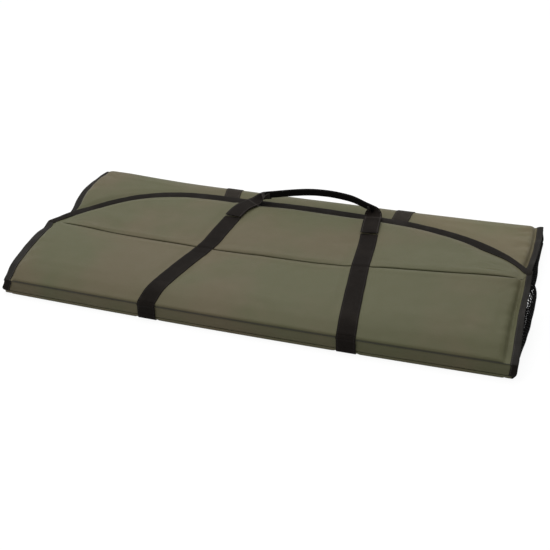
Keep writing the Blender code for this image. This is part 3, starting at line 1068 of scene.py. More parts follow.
    def build(self) -> Piece:
        """Makes the lining, the foam and the cover, and returns the cover.

        Returns:
            The cover.
        """
        lining = self.sheet(f"{self.prefix}_lining", lambda _x, _d: 0.0, self.finishes.lining, True)
        thicken(lining, SIZES.skin * 0.9, -1.0)
        self.attach(lining, "lining_cloth", f"{self.prefix}_liner")
        self.build_pad()
        # Every cover carries painted shade along its fold line; the walls' shade is stronger and wider.
        walls = self.finishes.wall_cover if self.face is Face.FRONT else self.finishes.rear_cover
        finish = self.finishes.cover if self.arched else walls
        return self.sheet(f"{self.prefix}_cloth", self.top, finish, False)

    def build_pad(self) -> None:
        """The foam inside the panel."""
        hem = max(self.end_hems) + (0.048 if self.arched else 0.003)
        columns = [x for x in self.columns() if SIZES.half_length - abs(x) > hem][::2]
        rows = [self.rows(x)[5:-5:2] if self.arched else self.rows(x)[3:-3:2] for x in columns]
        low, slack = SIZES.skin + SIZES.gap + (0.0007 if self.arched else 0.0), 0.0023 if self.arched else 0.0009

        def under(column: int, row: int) -> Vector:
            """A point of the foam's underside."""
            return self.point(columns[column], rows[column][row], low)

        def over(column: int, row: int) -> Vector:
            """A point of the foam's top.

            Args:
                column: its column.
                row: its row.

            Returns:
                The point.
            """
            x, distance = columns[column], rows[column][row]
            dent = min(self.ripple(x, distance), 0.0)
            return self.point(x, distance, low + max(self.filling(x, distance) - slack + dent * 1.1, 0.0002))

        size = (len(columns) - 1, len(rows[0]) - 1)
        pad = padding(f"{self.prefix}_pad", size, under, over, self.finishes.foam)
        self.attach(pad, "foam", f"{self.prefix}_foam")

    def strap(self, side: Side, reach: tuple[float, float]) -> Piece:
        """Webbing sewn on the cover between two distances from the fold line.

        Args:
            side: the end of the mat.
            reach: the two distances.

        Returns:
            The webbing.
        """
        count = max(4, round((reach[1] - reach[0]) / 0.0045))

        def place(step: int, share: float) -> Vector:
            """A point of the webbing.

            Args:
                step: its step.
                share: its share of the way across, from -0.5 to 0.5.

            Returns:
                The point.
            """
            distance = mixed(*reach, step / count)
            run = self.before + distance
            sway = uneven(run * 30, side.value * 4.0, self.toward * 2.0) * 0.0005
            x = SIZES.strap_centre(side, run, self.face) + share * SIZES.webbing_width + sway
            near = min(max(distance, 0.0015), self.depth(x) - 0.001)
            return self.point(x, distance, SIZES.stack + self.filling(x, near) + SIZES.webbing_lift)

        start = self.before + reach[0] + 0.3
        # Straps on the rear wall take the webbing copy that is painted lighter for glare.
        faded = self.toward < 0 and not self.arched
        finish = self.finishes.faded if faded else self.finishes.webbing
        return band(f"{self.prefix}_webbing_{side.label}", count, place, finish, self.toward > 0, start)

    def end_binding(self, side: Side) -> None:
        """Tape round the hem at one end of a wall.

        Args:
            side: the end of the mat.
        """
        distances = [0.0] + self.rows(0)[1:-1] + [SIZES.wall_depth - 0.0005]

        def place(step: int, out: float, up: float) -> Vector:
            """A point at the hem."""
            return self.point(side.value * (SIZES.half_length + out), distances[step], up)

        flip = (side.value * self.toward) > 0
        name = f"{self.prefix}_binding_{side.label}"
        seed = side.value * 3.0 + self.toward
        width = self.tape_widths[1 if side is Side.RIGHT else 0]
        piece = tape_round(name, len(distances) - 1, place, SIZES.stack, self.finishes.end_tape, flip, seed, width)
        settle(piece, self.prefix, "binding_tape", f"{self.prefix}_tape_{side.label}")

    def arch_binding(self, wall: "Panel", seam: tuple) -> None:
        """Tape round the arched hem of a cover flap, from one end hem of its wall to the other.

        Args:
            wall: the wall that the flap is sewn to.
            seam: the bodies that the seam joins, and where cloth across it leaves the one and joins the other.
        """
        tail = [-0.003, -0.0015, 0.0]
        half = SIZES.half_length
        edge = [(-half, distance) for distance in tail]
        edge += [(x, max(self.depth(x), 0.003)) for x in self.columns()]
        edge += [(half, distance) for distance in reversed(tail)]

        def place(step: int, out: float, up: float) -> Vector:
            """A point at the arched hem.

            Args:
                step: its step.
                out: distance out of the hem.
                up: height over the underside.

            Returns:
                The point.
            """
            x, depth = edge[step]
            before, after = edge[max(step - 2, 0)], edge[min(step + 2, len(edge) - 1)]
            heading = atan2(after[1] - before[1], after[0] - before[0])
            least, near = (0.52, 0.410) if x > 0 else (0.74, 0.495)
            out *= mixed(1.0, least, smooth((abs(x) - near) / (0.515 - near))) if out < 0 else 1.0
            side_x = x - sin(heading) * out
            distance = depth + cos(heading) * out
            spread = 0.0004 if up > SIZES.stack / 2 else -0.0004
            if distance < 0:
                return wall.point(side_x, SIZES.wall_depth + distance, up + spread)
            return self.point(side_x, distance, up + spread)

        name, flip, tape = f"{self.prefix}_binding", self.toward < 0, self.finishes.tape
        piece = tape_round(name, len(edge) - 1, place, SIZES.stack, tape, flip, self.toward, SIZES.arch_tape)
        bridge(piece, *seam, "binding_tape", f"{self.prefix}_tape")


@dataclass
class Relaxing:
    """Lets the covers relax over their foam in one short cloth simulation."""

    frames: int = 20
    pressure: float = 3.0
    growth: float = 0.012
    cap: float = 0.0035

    def run(self, covers: Sequence[tuple[Piece, Panel]]) -> None:
        """Simulates copies of the covers and moves the covers' own points by the capped result.

        Args:
            covers: each cover with its panel; hems and strap lines stay where they are.
        """
        scene = bpy.context.scene
        copies = []
        for cover, panel in covers:
            copy = cover.copy()
            copy.data = cover.data.copy()
            scene.collection.objects.link(copy)
            held = copy.vertex_groups.new(name="held")
            loose = copy.vertex_groups.new(name="loose")
            for index, free in enumerate(self.freedom(cover, panel)):
                held.add([index], 0.0 if free > 0 else 1.0, "REPLACE")
                loose.add([index], free, "REPLACE")
            cloth = copy.modifiers.new("Cloth", "CLOTH")
            configure(
                cloth.settings, quality=5, mass=0.25, tension_stiffness=18, compression_stiffness=18,
                bending_stiffness=0.4, vertex_group_mass="held", shrink_min=0.0, shrink_max=-self.growth,
                vertex_group_shrink="loose", use_pressure=True, uniform_pressure_force=self.pressure,
            )
            cloth.settings.effector_weights.gravity = 0.0
            configure(cloth.point_cache, frame_start=1, frame_end=self.frames)
            copies.append(copy)
        for step in range(1, self.frames + 1):
            scene.frame_set(step)
        graph = bpy.context.evaluated_depsgraph_get()
        for (cover, panel), copy in zip(covers, copies):
            moved = [vert.co.copy() for vert in copy.evaluated_get(graph).data.vertices]
            self.take(cover, panel, moved)
        for copy in copies:
            bpy.data.objects.remove(copy, do_unlink=True)
        scene.frame_set(1)

    def places(self, cover: Piece) -> list[tuple[float, float]]:
        """Where each point of a cover is on its panel: along the mat, and from the fold line.

        Args:
            cover: the cover.

        Returns:
            The place of each point.
        """
        weave = cover.data.uv_layers["weave"].data
        found = [(0.0, 0.0)] * len(cover.data.vertices)
        for loop in cover.data.loops:
            found[loop.vertex_index] = tuple(weave[loop.index].uv)
        return found

    def freedom(self, cover: Piece, panel: Panel) -> list[float]:
        """How freely each point of a cover moves: 0 on a hem or under webbing, 1 in the middle of the cloth.

        Args:
            cover: the cover.
            panel: the panel that it covers.

        Returns:
            The share of each point.
        """
        found = []
        for x, distance in self.places(cover):
            strap = SIZES.near_strap(x, panel.before + distance, panel.face)
            full = panel.fullness(x, distance)
            free = 1 - panel.pressed(x, distance)
            found.append(free * smooth((full - 0.55) / 0.40) * smooth((strap - 0.002) / 0.020))
        return found

    def take(self, cover: Piece, panel: Panel, moved: Sequence[Vector]) -> None:
        """Moves a cover's points by the simulation's result, within the cap and as far as each is free.

        Args:
            cover: the cover.
            panel: the panel that it covers.
            moved: the simulation's points.
        """
        total = 0.0
        for vert, end, free in zip(cover.data.vertices, moved, self.freedom(cover, panel)):
            step = end - vert.co
            step.z = min(max(step.z, -self.cap * 0.05), self.cap * 0.6)
            step.x = min(max(step.x, -0.001), 0.001)
            step.y = min(max(step.y, -0.001), 0.001)
            total = max(total, abs(step.z * free))
            vert.co += step * free
        cover.data.update()
        log.info("%s relaxed by up to %.1f mm", cover.name, total * 1000)


@dataclass(frozen=True)
class EndShape:
    """How one end of a folded wall lies on the bunched net: curves over the distance from the crease."""

    lift: tuple = ((0.0, 0.0), (0.43, 0.0))
    reach: tuple = ((0.0, 0.0), (0.43, 0.0))
    turn: tuple = ((0.0, 0.0), (0.43, 0.0))
    fade: tuple = ((0.0, 1.0), (0.06, 0.85), (0.16, 0.25), (0.25, 0.0))
    turned: float = 0.024

    def shift(self, inside: float, run: float) -> tuple[float, float]:
        """How far a place moves out along the mat and up.

        Args:
            inside: its distance from the wall's end.
            run: its distance from the crease.

        Returns:
            The two distances.
        """
        bend = radians(profile(self.turn, run))
        past = max(self.turned - inside, 0.0)
        past *= smooth(past / 0.010)
        out = profile(self.reach, run) * (1 - smooth(inside / 0.11)) - past * (1 - cos(bend))
        return out, profile(self.lift, run) * profile(self.fade, inside) + past * sin(bend)


FRONT_LEFT_END = EndShape(
    lift=(
        (0.0, 0.0), (0.03, 0.001), (0.08, 0.0035), (0.13, 0.0060), (0.18, 0.0070), (0.215, 0.0062), (0.25, 0.0040),
        (0.31, 0.0),
    ),
    reach=(
        (0.0, -0.0100), (0.02, -0.0065), (0.045, -0.0030), (0.08, 0.0002), (0.12, 0.0030), (0.17, 0.0054),
        (0.215, 0.0032), (0.25, 0.002), (0.31, 0.0),
    ),
    turn=((0.0, 0.0), (0.05, 8.0), (0.16, 8.0), (0.215, 0.0), (0.43, 0.0)),
)
FRONT_RIGHT_END = EndShape(
    lift=(
        (0.0, 0.0), (0.03, 0.005), (0.08, 0.0115), (0.14, 0.0195), (0.19, 0.0260), (0.23, 0.0295), (0.30, 0.0225),
        (0.43, 0.0150),
    ),
    reach=(
        (0.0, 0.0015), (0.03, 0.0010), (0.08, 0.0010), (0.11, 0.0010), (0.15, 0.0020), (0.20, 0.0028), (0.25, 0.0020),
        (0.43, 0.0),
    ),
    turn=(
        (0.0, 0.0), (0.02, 3.0), (0.05, 18.0), (0.10, 31.0), (0.15, 37.0), (0.20, 39.0), (0.235, 36.0), (0.29, 12.0),
        (0.43, 0.0),
    ),
    fade=(
        (0.0, 1.0), (0.055, 0.97), (0.105, 0.88), (0.16, 0.70), (0.22, 0.54), (0.285, 0.38), (0.36, 0.12), (0.43, 0.0),
    ),
)
REAR_LEFT_END = EndShape(
    lift=((0.0, 0.004), (0.03, 0.009), (0.08, 0.012), (0.13, 0.010), (0.19, 0.002), (0.43, 0.0)),
    reach=(
        (0.0, 0.0018), (0.035, 0.0065), (0.075, 0.0103), (0.10, 0.0110), (0.13, 0.0090), (0.16, 0.0045), (0.20, -0.002),
        (0.43, 0.0),
    ),
)
REAR_RIGHT_END = EndShape(
    lift=((0.0, 0.001), (0.03, 0.002), (0.08, 0.004), (0.13, 0.005), (0.19, 0.004), (0.43, 0.0)),
    reach=((0.0, -0.0035), (0.05, -0.001), (0.10, -0.0005), (0.15, -0.003), (0.19, -0.008), (0.43, 0.0)),
    turn=((0.0, 12.0), (0.05, 20.0), (0.10, 26.0), (0.16, 24.0), (0.215, 10.0), (0.43, 0.0)),
)


@dataclass
class SideAssembly:
    """One side of the mat: a wall folded over the base and the arched flap sewn to its edge."""

    finishes: Finishes
    face: Face
    left: EndShape
    right: EndShape
    dip: tuple = ((-0.525, 0.0), (0.525, 0.0))
    flap_slack: tuple = ((-0.525, 0.0), (0.525, 0.0))
    flap_rise: float = 0.0
    wall_fill: float = 0.0

    @property
    def prefix(self) -> str:
        """Name of this side."""
        return "front" if self.face is Face.FRONT else "rear"

    @property
    def toward(self) -> int:
        """The way across the mat from this side's crease."""
        return -self.face.value

    def warp(self, point: Vector, run: float) -> Vector:
        """Lets the ends lift and reach out as the bunched nets push them, and the seam sink.

        Args:
            point: a point of the flat wall or flap.
            run: its distance from the crease along wall and flap.

        Returns:
            Where the point lies.
        """
        side = 1 if point.x > 0 else -1
        end = self.right if point.x > 0 else self.left
        out, rise = end.shift(SIZES.half_length - abs(point.x), run)
        rise += profile(self.dip, point.x) * bell(run - SIZES.wall_depth, 0.05)
        return Vector((point.x + side * out, point.y, point.z + rise))

    def wall_floor(self, distance: float) -> float:
        """Underside of the folded wall.

        Args:
            distance: from the crease.

        Returns:
            The height.
        """
        flat = SIZES.front_wall_floor if self.face is Face.FRONT else SIZES.rear_floor
        low = SIZES.crease_z - SIZES.stack
        height = mixed(low, flat, smooth(distance / SIZES.ramp))
        if self.face is Face.REAR:
            return height
        last = (distance - (SIZES.wall_depth - 0.025)) / 0.025
        return mixed(height, SIZES.seam_z - SIZES.stack, smooth(last))

    def flap_floor(self, distance: float) -> float:
        """Underside of the cover flap.

        Args:
            distance: from the seam.

        Returns:
            The height.
        """
        if self.face is Face.REAR:
            return SIZES.rear_floor
        low = mixed(SIZES.seam_z - SIZES.stack, SIZES.front_flap_floor, smooth(distance / 0.032))
        return low + self.flap_rise * smooth((distance - 0.08) / 0.10)

    def make_panels(self, wall_puckers: tuple, flap_puckers: tuple) -> None:
        """Sets up the wall's and the flap's panels.

        Args:
            wall_puckers: the wall's puckers.
            flap_puckers: the flap's puckers.
        """
        front = self.face is Face.FRONT
        shared = {"finishes": self.finishes, "toward": self.toward, "warp": self.warp}
        self.wall = Panel(
            **shared,
            prefix=f"{self.prefix}_wall",
            fold_y=self.face.value * SIZES.crease_y,
            floor=self.wall_floor,
            foam=SIZES.wall_foam + self.wall_fill,
            arched=False,
            ruffle=0.0015,
            puckers=wall_puckers,
            roll=0.0030 if front else 0.0015,
            sunk=0.0 if front else self.wall_fill + 0.0012,
            near_hem=0.0022,
            end_shoulder=0.011,
            tape_widths=(0.0135, 0.0115 if front else 0.0112),
            level=SIZES.seam_z + 0.0048 if front else 1.0,
            end_hems=(0.0180, 0.0235) if front else (SIZES.hem, SIZES.hem),
        )
        self.flap = Panel(
            **shared,
            prefix=f"{self.prefix}_flap",
            fold_y=self.face.value * SIZES.seam_y,
            floor=self.flap_floor,
            foam=SIZES.flap_foam,
            arched=True,
            ruffle=0.0017,
            puckers=flap_puckers,
            end_hems=(0.032, 0.030),
            near_hem=0.0008,
            foot=1.0,
            end_shoulder=0.035,
            cell=0.0052,
            slack=self.flap_slack,
            joined=self.seam if front else (),
        )

    @property
    def seam(self) -> tuple[tuple[str, str], Span]:
        """The bodies that the seam joins, and where cloth across it leaves the wall and joins the flap.

        Returns:
            The two bodies and the two points.
        """
        y, bodies = self.face.value * SIZES.seam_y, (f"{self.prefix}_wall", f"{self.prefix}_flap")
        if self.face is Face.FRONT:
            return bodies, ((0.0, y, SIZES.seam_z), (0.0, y + 0.055, SIZES.seam_z))
        return bodies, ((0.0, y + 0.004, SIZES.rear_floor), (0.0, y - 0.004, SIZES.rear_floor))

    def build(self) -> list[tuple[Piece, Panel]]:
        """Makes the side's cloth, bindings and sewn webbing, and returns its two covers.

        Returns:
            Each cover with its panel.
        """
        covers = [(panel.build(), panel) for panel in (self.wall, self.flap)]
        for side in Side:
            wall_strap = self.wall.strap(side, (0.0055, SIZES.wall_depth - 0.006))
            settle(wall_strap, self.wall.prefix, "webbing", f"{self.prefix}_wall_strap_{side.label}")
            flap_strap = self.flap.strap(side, (-0.006, SIZES.sewn_length - 0.001))
            bridge(flap_strap, *self.seam, "webbing", f"{self.prefix}_flap_strap_{side.label}")
            self.wall.end_binding(side)
        self.flap.arch_binding(self.wall, self.seam)
        self.build_seam()
        return covers

    def build_seam(self) -> None:
        """The turned-in cloth that joins the wall's edge to the flap's."""
        half, count = SIZES.half_length - 0.0155, 160
        along = [mixed(-half, half, column / count) for column in range(count + 1)]
        offsets = (-0.0045, -0.0022, -0.0006, 0.0006, 0.0024, 0.0050)
        drops = (0.0012, 0.0016, 0.0021, 0.0021, 0.0016, 0.0012)

        spots = [(self.wall, SIZES.wall_depth + offset) if offset < 0 else (self.flap, offset) for offset in offsets]

        def place(column: int, row: int) -> Vector:
            """A point of the seam."""
            panel, distance = spots[row]
            return panel.point(along[column], distance, SIZES.stack - drops[row])

        # The cover finish paints shade on this cloth's middle rows, for the shadow in the seam groove.
        seam = woven(f"{self.prefix}_seam_cloth", along, offsets, place, self.finishes.cover, self.toward < 0)
        bridge(thicken(seam, 0.0004), *self.seam, "cover_cloth")

    def finish_covers(self, covers: Iterable[tuple[Piece, Panel]]) -> None:
        for cover, panel in covers:
            thicken(cover, SIZES.skin * 0.9, -1.0)
            panel.attach(cover, "cover_cloth", f"{panel.prefix}_cover")
            lining = bpy.data.objects[f"{panel.prefix}_lining"]
            pad = f"{panel.prefix}_pad"


@dataclass
class Base:
    """The padded base on the ground, its spines and the webbing that runs under it."""

    finishes: Finishes
    channel: float = SIZES.webbing_skin + SIZES.gap
    roll: float = 0.0045

    def strap_line(self, side: Side, y: float) -> float:
        """X of the webbing that runs under the base from crease to crease, at a place across the mat."""
        creases = [SIZES.strap_centre(side, 0.0, face) for face in Face]
        return mixed(*creases, (y + SIZES.half_width) / (2 * SIZES.half_width))

    def rise(self, x: float, y: float) -> float:
        """Height of the base cover's underside: up over the webbing and at the end hems.

        Args:
            x: place along the mat.
            y: place across the mat.

        Returns:
            The height.
        """
        near = min(abs(x - self.strap_line(side, y)) for side in Side) - SIZES.webbing_width / 2
        strap = 1 - smooth((near - 0.0012) / 0.006)
        hem = smooth((abs(x) - (SIZES.half_length - SIZES.hem) + 0.004) / 0.006)
        return self.channel * max(strap, hem)

    def drawn(self, point: Vector) -> Vector:
        """Draws the base's ends in a little between its corners, as the bunched nets pull them.

        Args:
            point: the point.

        Returns:
            The moved point.
        """
        pull = SIZES.drawn_in(point.y) * smooth((abs(point.x) - 0.36) / 0.16)
        pull += 0.0060 * smooth((-point.y - 0.234) / 0.016) * smooth((abs(point.x) - 0.495) / 0.030)
        return Vector((point.x - (pull if point.x > 0 else -pull), point.y, point.z))

    def fullness(self, x: float) -> float:
        """How full the base is near its ends."""
        inside = (SIZES.half_length - SIZES.hem - abs(x)) / 0.040
        return sqrt(smooth(inside)) if inside > 0 else 0.0

    def columns(self) -> list[float]:
        """Places along the mat of the base's columns."""
        steps = [0.0, 0.005, 0.010, 0.0145, 0.0165, 0.018, 0.020, 0.023, 0.027, 0.032, 0.038]
        return hemmed_columns(steps, 190)

    def tray(self, x: float) -> list[Vector]:
        """Section of the base cover: up the front lip, under the base and up the rear lip.

        Args:
            x: place along the mat.

        Returns:
            The points of the section.
        """
        half, roll = SIZES.half_width - 0.0004, self.roll
        points = []
        for face in Face:
            rise = self.rise(x, face.value * half)
            lip = [(-half + 0.0032, SIZES.lip_z - 0.0006), (-half + 0.0012, SIZES.lip_z + 0.0001)]
            lip += [(-half + 0.0001, SIZES.lip_z - 0.0009), (-half, (SIZES.lip_z + roll) / 2)]
            for step in range(6):
                turn = pi + pi / 2 * step / 5
                lip.append((-half + roll + roll * cos(turn), rise + roll + roll * sin(turn)))
            points.append([(-face.value * y, z) for y, z in lip])
        flat = []
        for step in range(23):
            y = mixed(-half + roll, half - roll, (step + 1) / 24)
            flat.append((y, self.rise(x, y)))
        return [Vector((0, *part)) for part in points[0] + flat + list(reversed(points[1]))]

    def build(self) -> None:
        """Makes the whole base."""
        self.build_cover()
        self.build_lining()
        self.build_pad()
        for side in Side:
            self.build_binding(side)
            self.build_webbing(side)

    def build_cover(self) -> None:
        """The cloth under the base, with its two lips."""

        def wave(x: float, point: Vector) -> None:
            """Waves the cloth's lips a little."""
            if point.z > 0.002:
                point.y += uneven(x * 14, point.y * 6, 2.0) * 0.0007 * 0.6

        cover = self.lay_cloth("base_cloth", self.tray, wave, self.finishes.cover, True)
        settle(cover, "base", "cover_cloth", "base_cover")

    def lay_cloth(
        self, name: str, section: Callable[[float], list[Vector]], wave: Callable, finish: Material, flip: bool = False
    ) -> Piece:
        """A cloth of the base, from its section at each place along the mat.

        Args:
            name: the piece's name.
            section: the points of its section.
            wave: moves a point of the section a little.
            finish: its material.
            flip: whether its outside is turned over.

        Returns:
            The cloth.
        """
        columns = self.columns()
        sections = [section(x) for x in columns]
        across = running_length(sections[len(sections) // 2])

        def place(column: int, row: int) -> Vector:
            """A point of the cloth.

            Args:
                column: its column.
                row: its row.

            Returns:
                The point.
            """
            x, point = columns[column], sections[column][row].copy()
            wave(x, point)
            return self.drawn(Vector((x, *point.yz)))

        return thicken(woven(name, columns, across, place, finish, flip), SIZES.skin * 0.9, -1.0)

    def lining_section(self, x: float) -> list[Vector]:
        """Section of the base lining.

        Args:
            x: place along the mat.

        Returns:
            The points of the section.
        """
        half = SIZES.half_width - 0.0031
        top = SIZES.base_z - 0.0005
        low = self.channel + SIZES.stack - 0.0002
        side = [(-half, 0.0120), (-half, 0.0165), (-half, 0.0205)]
        for step in range(4):
            turn = pi - pi / 2 * (step + 1) / 4
            side.append((-half + 0.005 + 0.005 * cos(turn), top - 0.005 + 0.005 * sin(turn)))
        flat = [(mixed(-half + 0.005, half - 0.005, (step + 1) / 44), top) for step in range(43)]
        points = side + flat + [(-y, z) for y, z in reversed(side)]
        full = self.fullness(x)
        return [Vector((0, y, mixed(low, z, full))) for y, z in points]

    def build_lining(self) -> None:
        """The smooth cloth on top of the base."""

        def wave(x: float, point: Vector) -> None:
            """Lets the cloth sink into the foam a little."""
            point.z -= 0.0005 * self.fullness(x) * (0.5 + 0.5 * uneven(x * 11, point.y * 13, 4.0))

        lining = self.lay_cloth("base_lining", self.lining_section, wave, self.finishes.lining)
        settle(lining, "base", "lining_cloth", "base_liner")

    def build_pad(self) -> None:
        """The thick foam inside the base."""
        columns = [x for x in self.columns() if self.fullness(x) > 0.15][::2]
        half = SIZES.half_width - 0.0050
        low = self.channel + SIZES.skin + SIZES.gap
        edge = [(-half, 0.016), (-half + 0.0012, 0.0205), (-half + 0.0045, SIZES.base_z - 0.0022)]
        flat = [(mixed(-half + 0.0045, half - 0.0045, (step + 1) / 10), SIZES.base_z - 0.0022) for step in range(9)]
        section = edge + flat + [(-y, z) for y, z in reversed(edge)]
        full = [self.fullness(x) for x in columns]

        def under(column: int, row: int) -> Vector:
            """A point of the foam's underside."""
            return self.drawn(Vector((columns[column], section[row][0], low)))

        def over(column: int, row: int) -> Vector:
            """A point of the foam's top."""
            y, z = section[row]
            return self.drawn(Vector((columns[column], y, max(mixed(low, z, full[column]), low + 0.0004))))

        pad = padding("base_pad", (len(columns) - 1, len(section) - 1), under, over, self.finishes.foam)
        settle(pad, "base", "foam", "base_foam")

    def build_binding(self, side: Side) -> None:
        """Tape round the base's end hem.

        Args:
            side: the end of the mat.
        """
        reach = SIZES.half_width - 0.0042
        count = 110

        def place(step: int, out: float, up: float) -> Vector:
            """A point at the hem."""
            y = mixed(-reach, reach, step / count)
            return self.drawn(Vector((side.value * (SIZES.half_length + out), y, self.channel + up)))

        name = f"base_binding_{side.label}"
        piece = tape_round(name, count, place, SIZES.stack, self.finishes.tape, side is Side.RIGHT, side.value)
        settle(piece, "base", "binding_tape", f"base_tape_{side.label}")

    def build_webbing(self, side: Side) -> None:
        """Webbing under the base, and the lengths that rise over each spine on to the walls.

        Args:
            side: the end of the mat.
        """
        middle = SIZES.webbing_skin / 2
        roll = self.roll + SIZES.gap + middle
        half = SIZES.half_width + SIZES.gap + middle - 0.0002
        low = self.channel - SIZES.gap - middle
        corner = []
        for step in range(7):
            turn = pi + pi / 2 * step / 6
            corner.append(Vector((0, -half + roll + roll * cos(turn), low + roll + roll * sin(turn))))
        flat = [Vector((0, mixed(-half + roll, half - roll, (step + 1) / 30), low)) for step in range(29)]
        top = [Vector((0, -half, z)) for z in (0.0165, 0.0125, 0.0090)]
        points = top + corner + flat
        points += [Vector((0, -point.y, point.z)) for point in reversed(top + corner)]

        def place(step: int, share: float) -> Vector:
            """A point of the webbing."""
            x = self.strap_line(side, points[step].y) + share * SIZES.webbing_width
            return Vector((x, *points[step].yz))

        name = f"base_webbing_{side.label}"
        strap = band(name, len(points) - 1, place, self.finishes.webbing, True, 0.5)
        settle(strap, "base", "webbing", f"base_strap_{side.label}")


@dataclass
class Spine:
    """The narrow side of the folded mat: cloth from the base's lip up to a wall's crease."""

    side: SideAssembly
    low: float = SIZES.lip_z + 0.0008
    high: float = SIZES.crease_z - 0.0016

    @property
    def crease(self) -> tuple[tuple[str, str], Span]:
        """The bodies that the spine joins, and where it leaves the base and joins the wall."""
        out = self.side.face.value
        return ("base", self.side.wall.prefix), ((0.0, out * 0.2520, 0.0300), (0.0, out * 0.2460, 0.0380))

    def outward(self, amount: float) -> float:
        """Y of a place this far inside the mat's long edge."""
        return self.side.face.value * (SIZES.half_width - amount)

    def build(self) -> None:
        """Makes the spine's cloth, its end bindings and the webbing that crosses it."""
        self.build_cloth()
        for side in Side:
            self.build_binding(side)
            self.build_webbing(side)

    def leaned(self, point: Vector) -> Vector:
        """Draws the top of an end in to the wall's corner.

        Args:
            point: the point.

        Returns:
            The moved point.
        """
        end = self.side.left if point.x < 0 else self.side.right
        lean = profile(end.reach, 0.0) * smooth((point.z - 0.008) / 0.024)
        lean *= smooth((abs(point.x) - 0.42) / 0.10)
        return Vector((point.x + (lean if point.x > 0 else -lean), point.y, point.z))

    def section(self) -> list[tuple[float, float]]:
        """Depth inside the edge and height of the spine's outside, from its foot to the wall.

        Returns:
            The points of the section.
        """
        steps = 9
        bowl = [0.0006 + 0.0009 * sin(pi * step / steps) for step in range(steps + 1)]
        wall = [(bowl[step], mixed(self.low, self.high, step / steps)) for step in range(steps + 1)]
        foot = [(0.0042, self.low - 0.0004), (0.0022, self.low - 0.0001), (0.0010, self.low + 0.0006)]
        wall = wall[1:-1] + [(0.0012, self.high - 0.0012), (0.0022, self.high), (0.0040, self.high + 0.0012)]
        return foot + wall

    def build_cloth(self) -> None:
        """The spine's cloth, turned in at its foot and at the crease."""
        section, prefix, count = self.section(), self.side.prefix, 240
        along = [mixed(-SIZES.half_length, SIZES.half_length, column / count) for column in range(count + 1)]
        across = running_length([Vector((0, *part)) for part in section])

        def place(column: int, row: int) -> Vector:
            """A point of the cloth.

            Args:
                column: its column.
                row: its row.

            Returns:
                The point.
            """
            x, (inside, z) = along[column], section[row]
            free = smooth(SIZES.near_strap(x, 0.0, self.side.face) / 0.012)
            wave = uneven(x * 9, z * 55, self.side.toward * 6.0) * 0.0011
            wave += uneven(x * 31, z * 40, self.side.toward * 8.0) * 0.0005
            sway = wave * free * sin(pi * row / (len(section) - 1))
            return self.leaned(Vector((x, self.outward(inside - sway), z)))

        cloth = woven(f"{prefix}_spine_cloth", along, across, place, self.side.finishes.cover, self.side.toward < 0)
        thicken(cloth, SIZES.skin * 0.8, -1.0)
        bridge(cloth, *self.crease, "cover_cloth", f"{prefix}_spine")

    def build_binding(self, side: Side) -> None:
        """Tape round the spine's end, from the ground up to the crease.

        Args:
            side: the end of the mat.
        """
        heights = [0.0012, 0.0035, 0.0065, 0.0100, 0.0135, 0.0170, 0.0205, 0.0240, 0.0275, 0.0305, 0.0330, 0.0345]
        prefix = self.side.prefix

        def place(step: int, out: float, up: float) -> Vector:
            """A point at the hem.

            Args:
                step: its step.
                out: distance out of the hem.
                up: height over the underside.

            Returns:
                The point.
            """
            z = heights[step]
            round_off = 0.0080 if self.side.face is Face.FRONT else 0.0015
            foot = round_off * (1 - smooth((z - 0.001) / 0.012))
            inside = 0.0012 + SIZES.skin + foot * 0.6 - up
            return self.leaned(Vector((side.value * (SIZES.half_length + out - foot), self.outward(inside), z)))

        name = f"{prefix}_spine_binding_{side.label}"
        flip = side.value * self.side.toward > 0
        stack, seed = SIZES.skin + 0.0002, side.value * 2.0
        width = 0.0105 if side is Side.RIGHT and self.side.face is Face.FRONT else SIZES.tape_width
        piece = tape_round(name, len(heights) - 1, place, stack, self.side.finishes.tape, not flip, seed, width)
        bridge(piece, *self.crease, "binding_tape", f"{prefix}_spine_tape_{side.label}")

    def build_webbing(self, side: Side) -> None:
        """Webbing from the base up the spine and over the crease on to the wall.

        Args:
            side: the end of the mat.
        """
        wall = self.side.wall
        middle = SIZES.webbing_skin / 2 + SIZES.gap
        foot = [Vector((0, self.outward(-middle + 0.0002), z)) for z in (0.0165, 0.0200, 0.0235, 0.0270, 0.0300)]
        reach = 0.0055
        crease = wall.point(0.0, reach, SIZES.stack + wall.filling(0.0, reach) + SIZES.webbing_lift)
        turn = Vector((0, self.outward(-middle - 0.0020), 0.0345))
        points = foot + [foot[-1].lerp(turn, 0.5), turn, turn.lerp(crease, 0.55), crease]

        def place(step: int, share: float) -> Vector:
            """A point of the webbing."""
            centre = SIZES.strap_centre(side, reach * step / (len(points) - 1), self.side.face)
            return Vector((centre + share * SIZES.webbing_width, *points[step].yz))

        name = f"{self.side.prefix}_spine_webbing_{side.label}"
        flip = self.side.toward > 0
        strap = band(name, len(points) - 1, place, self.side.finishes.webbing, flip, 0.3)
        bridge(strap, *self.crease, "webbing")


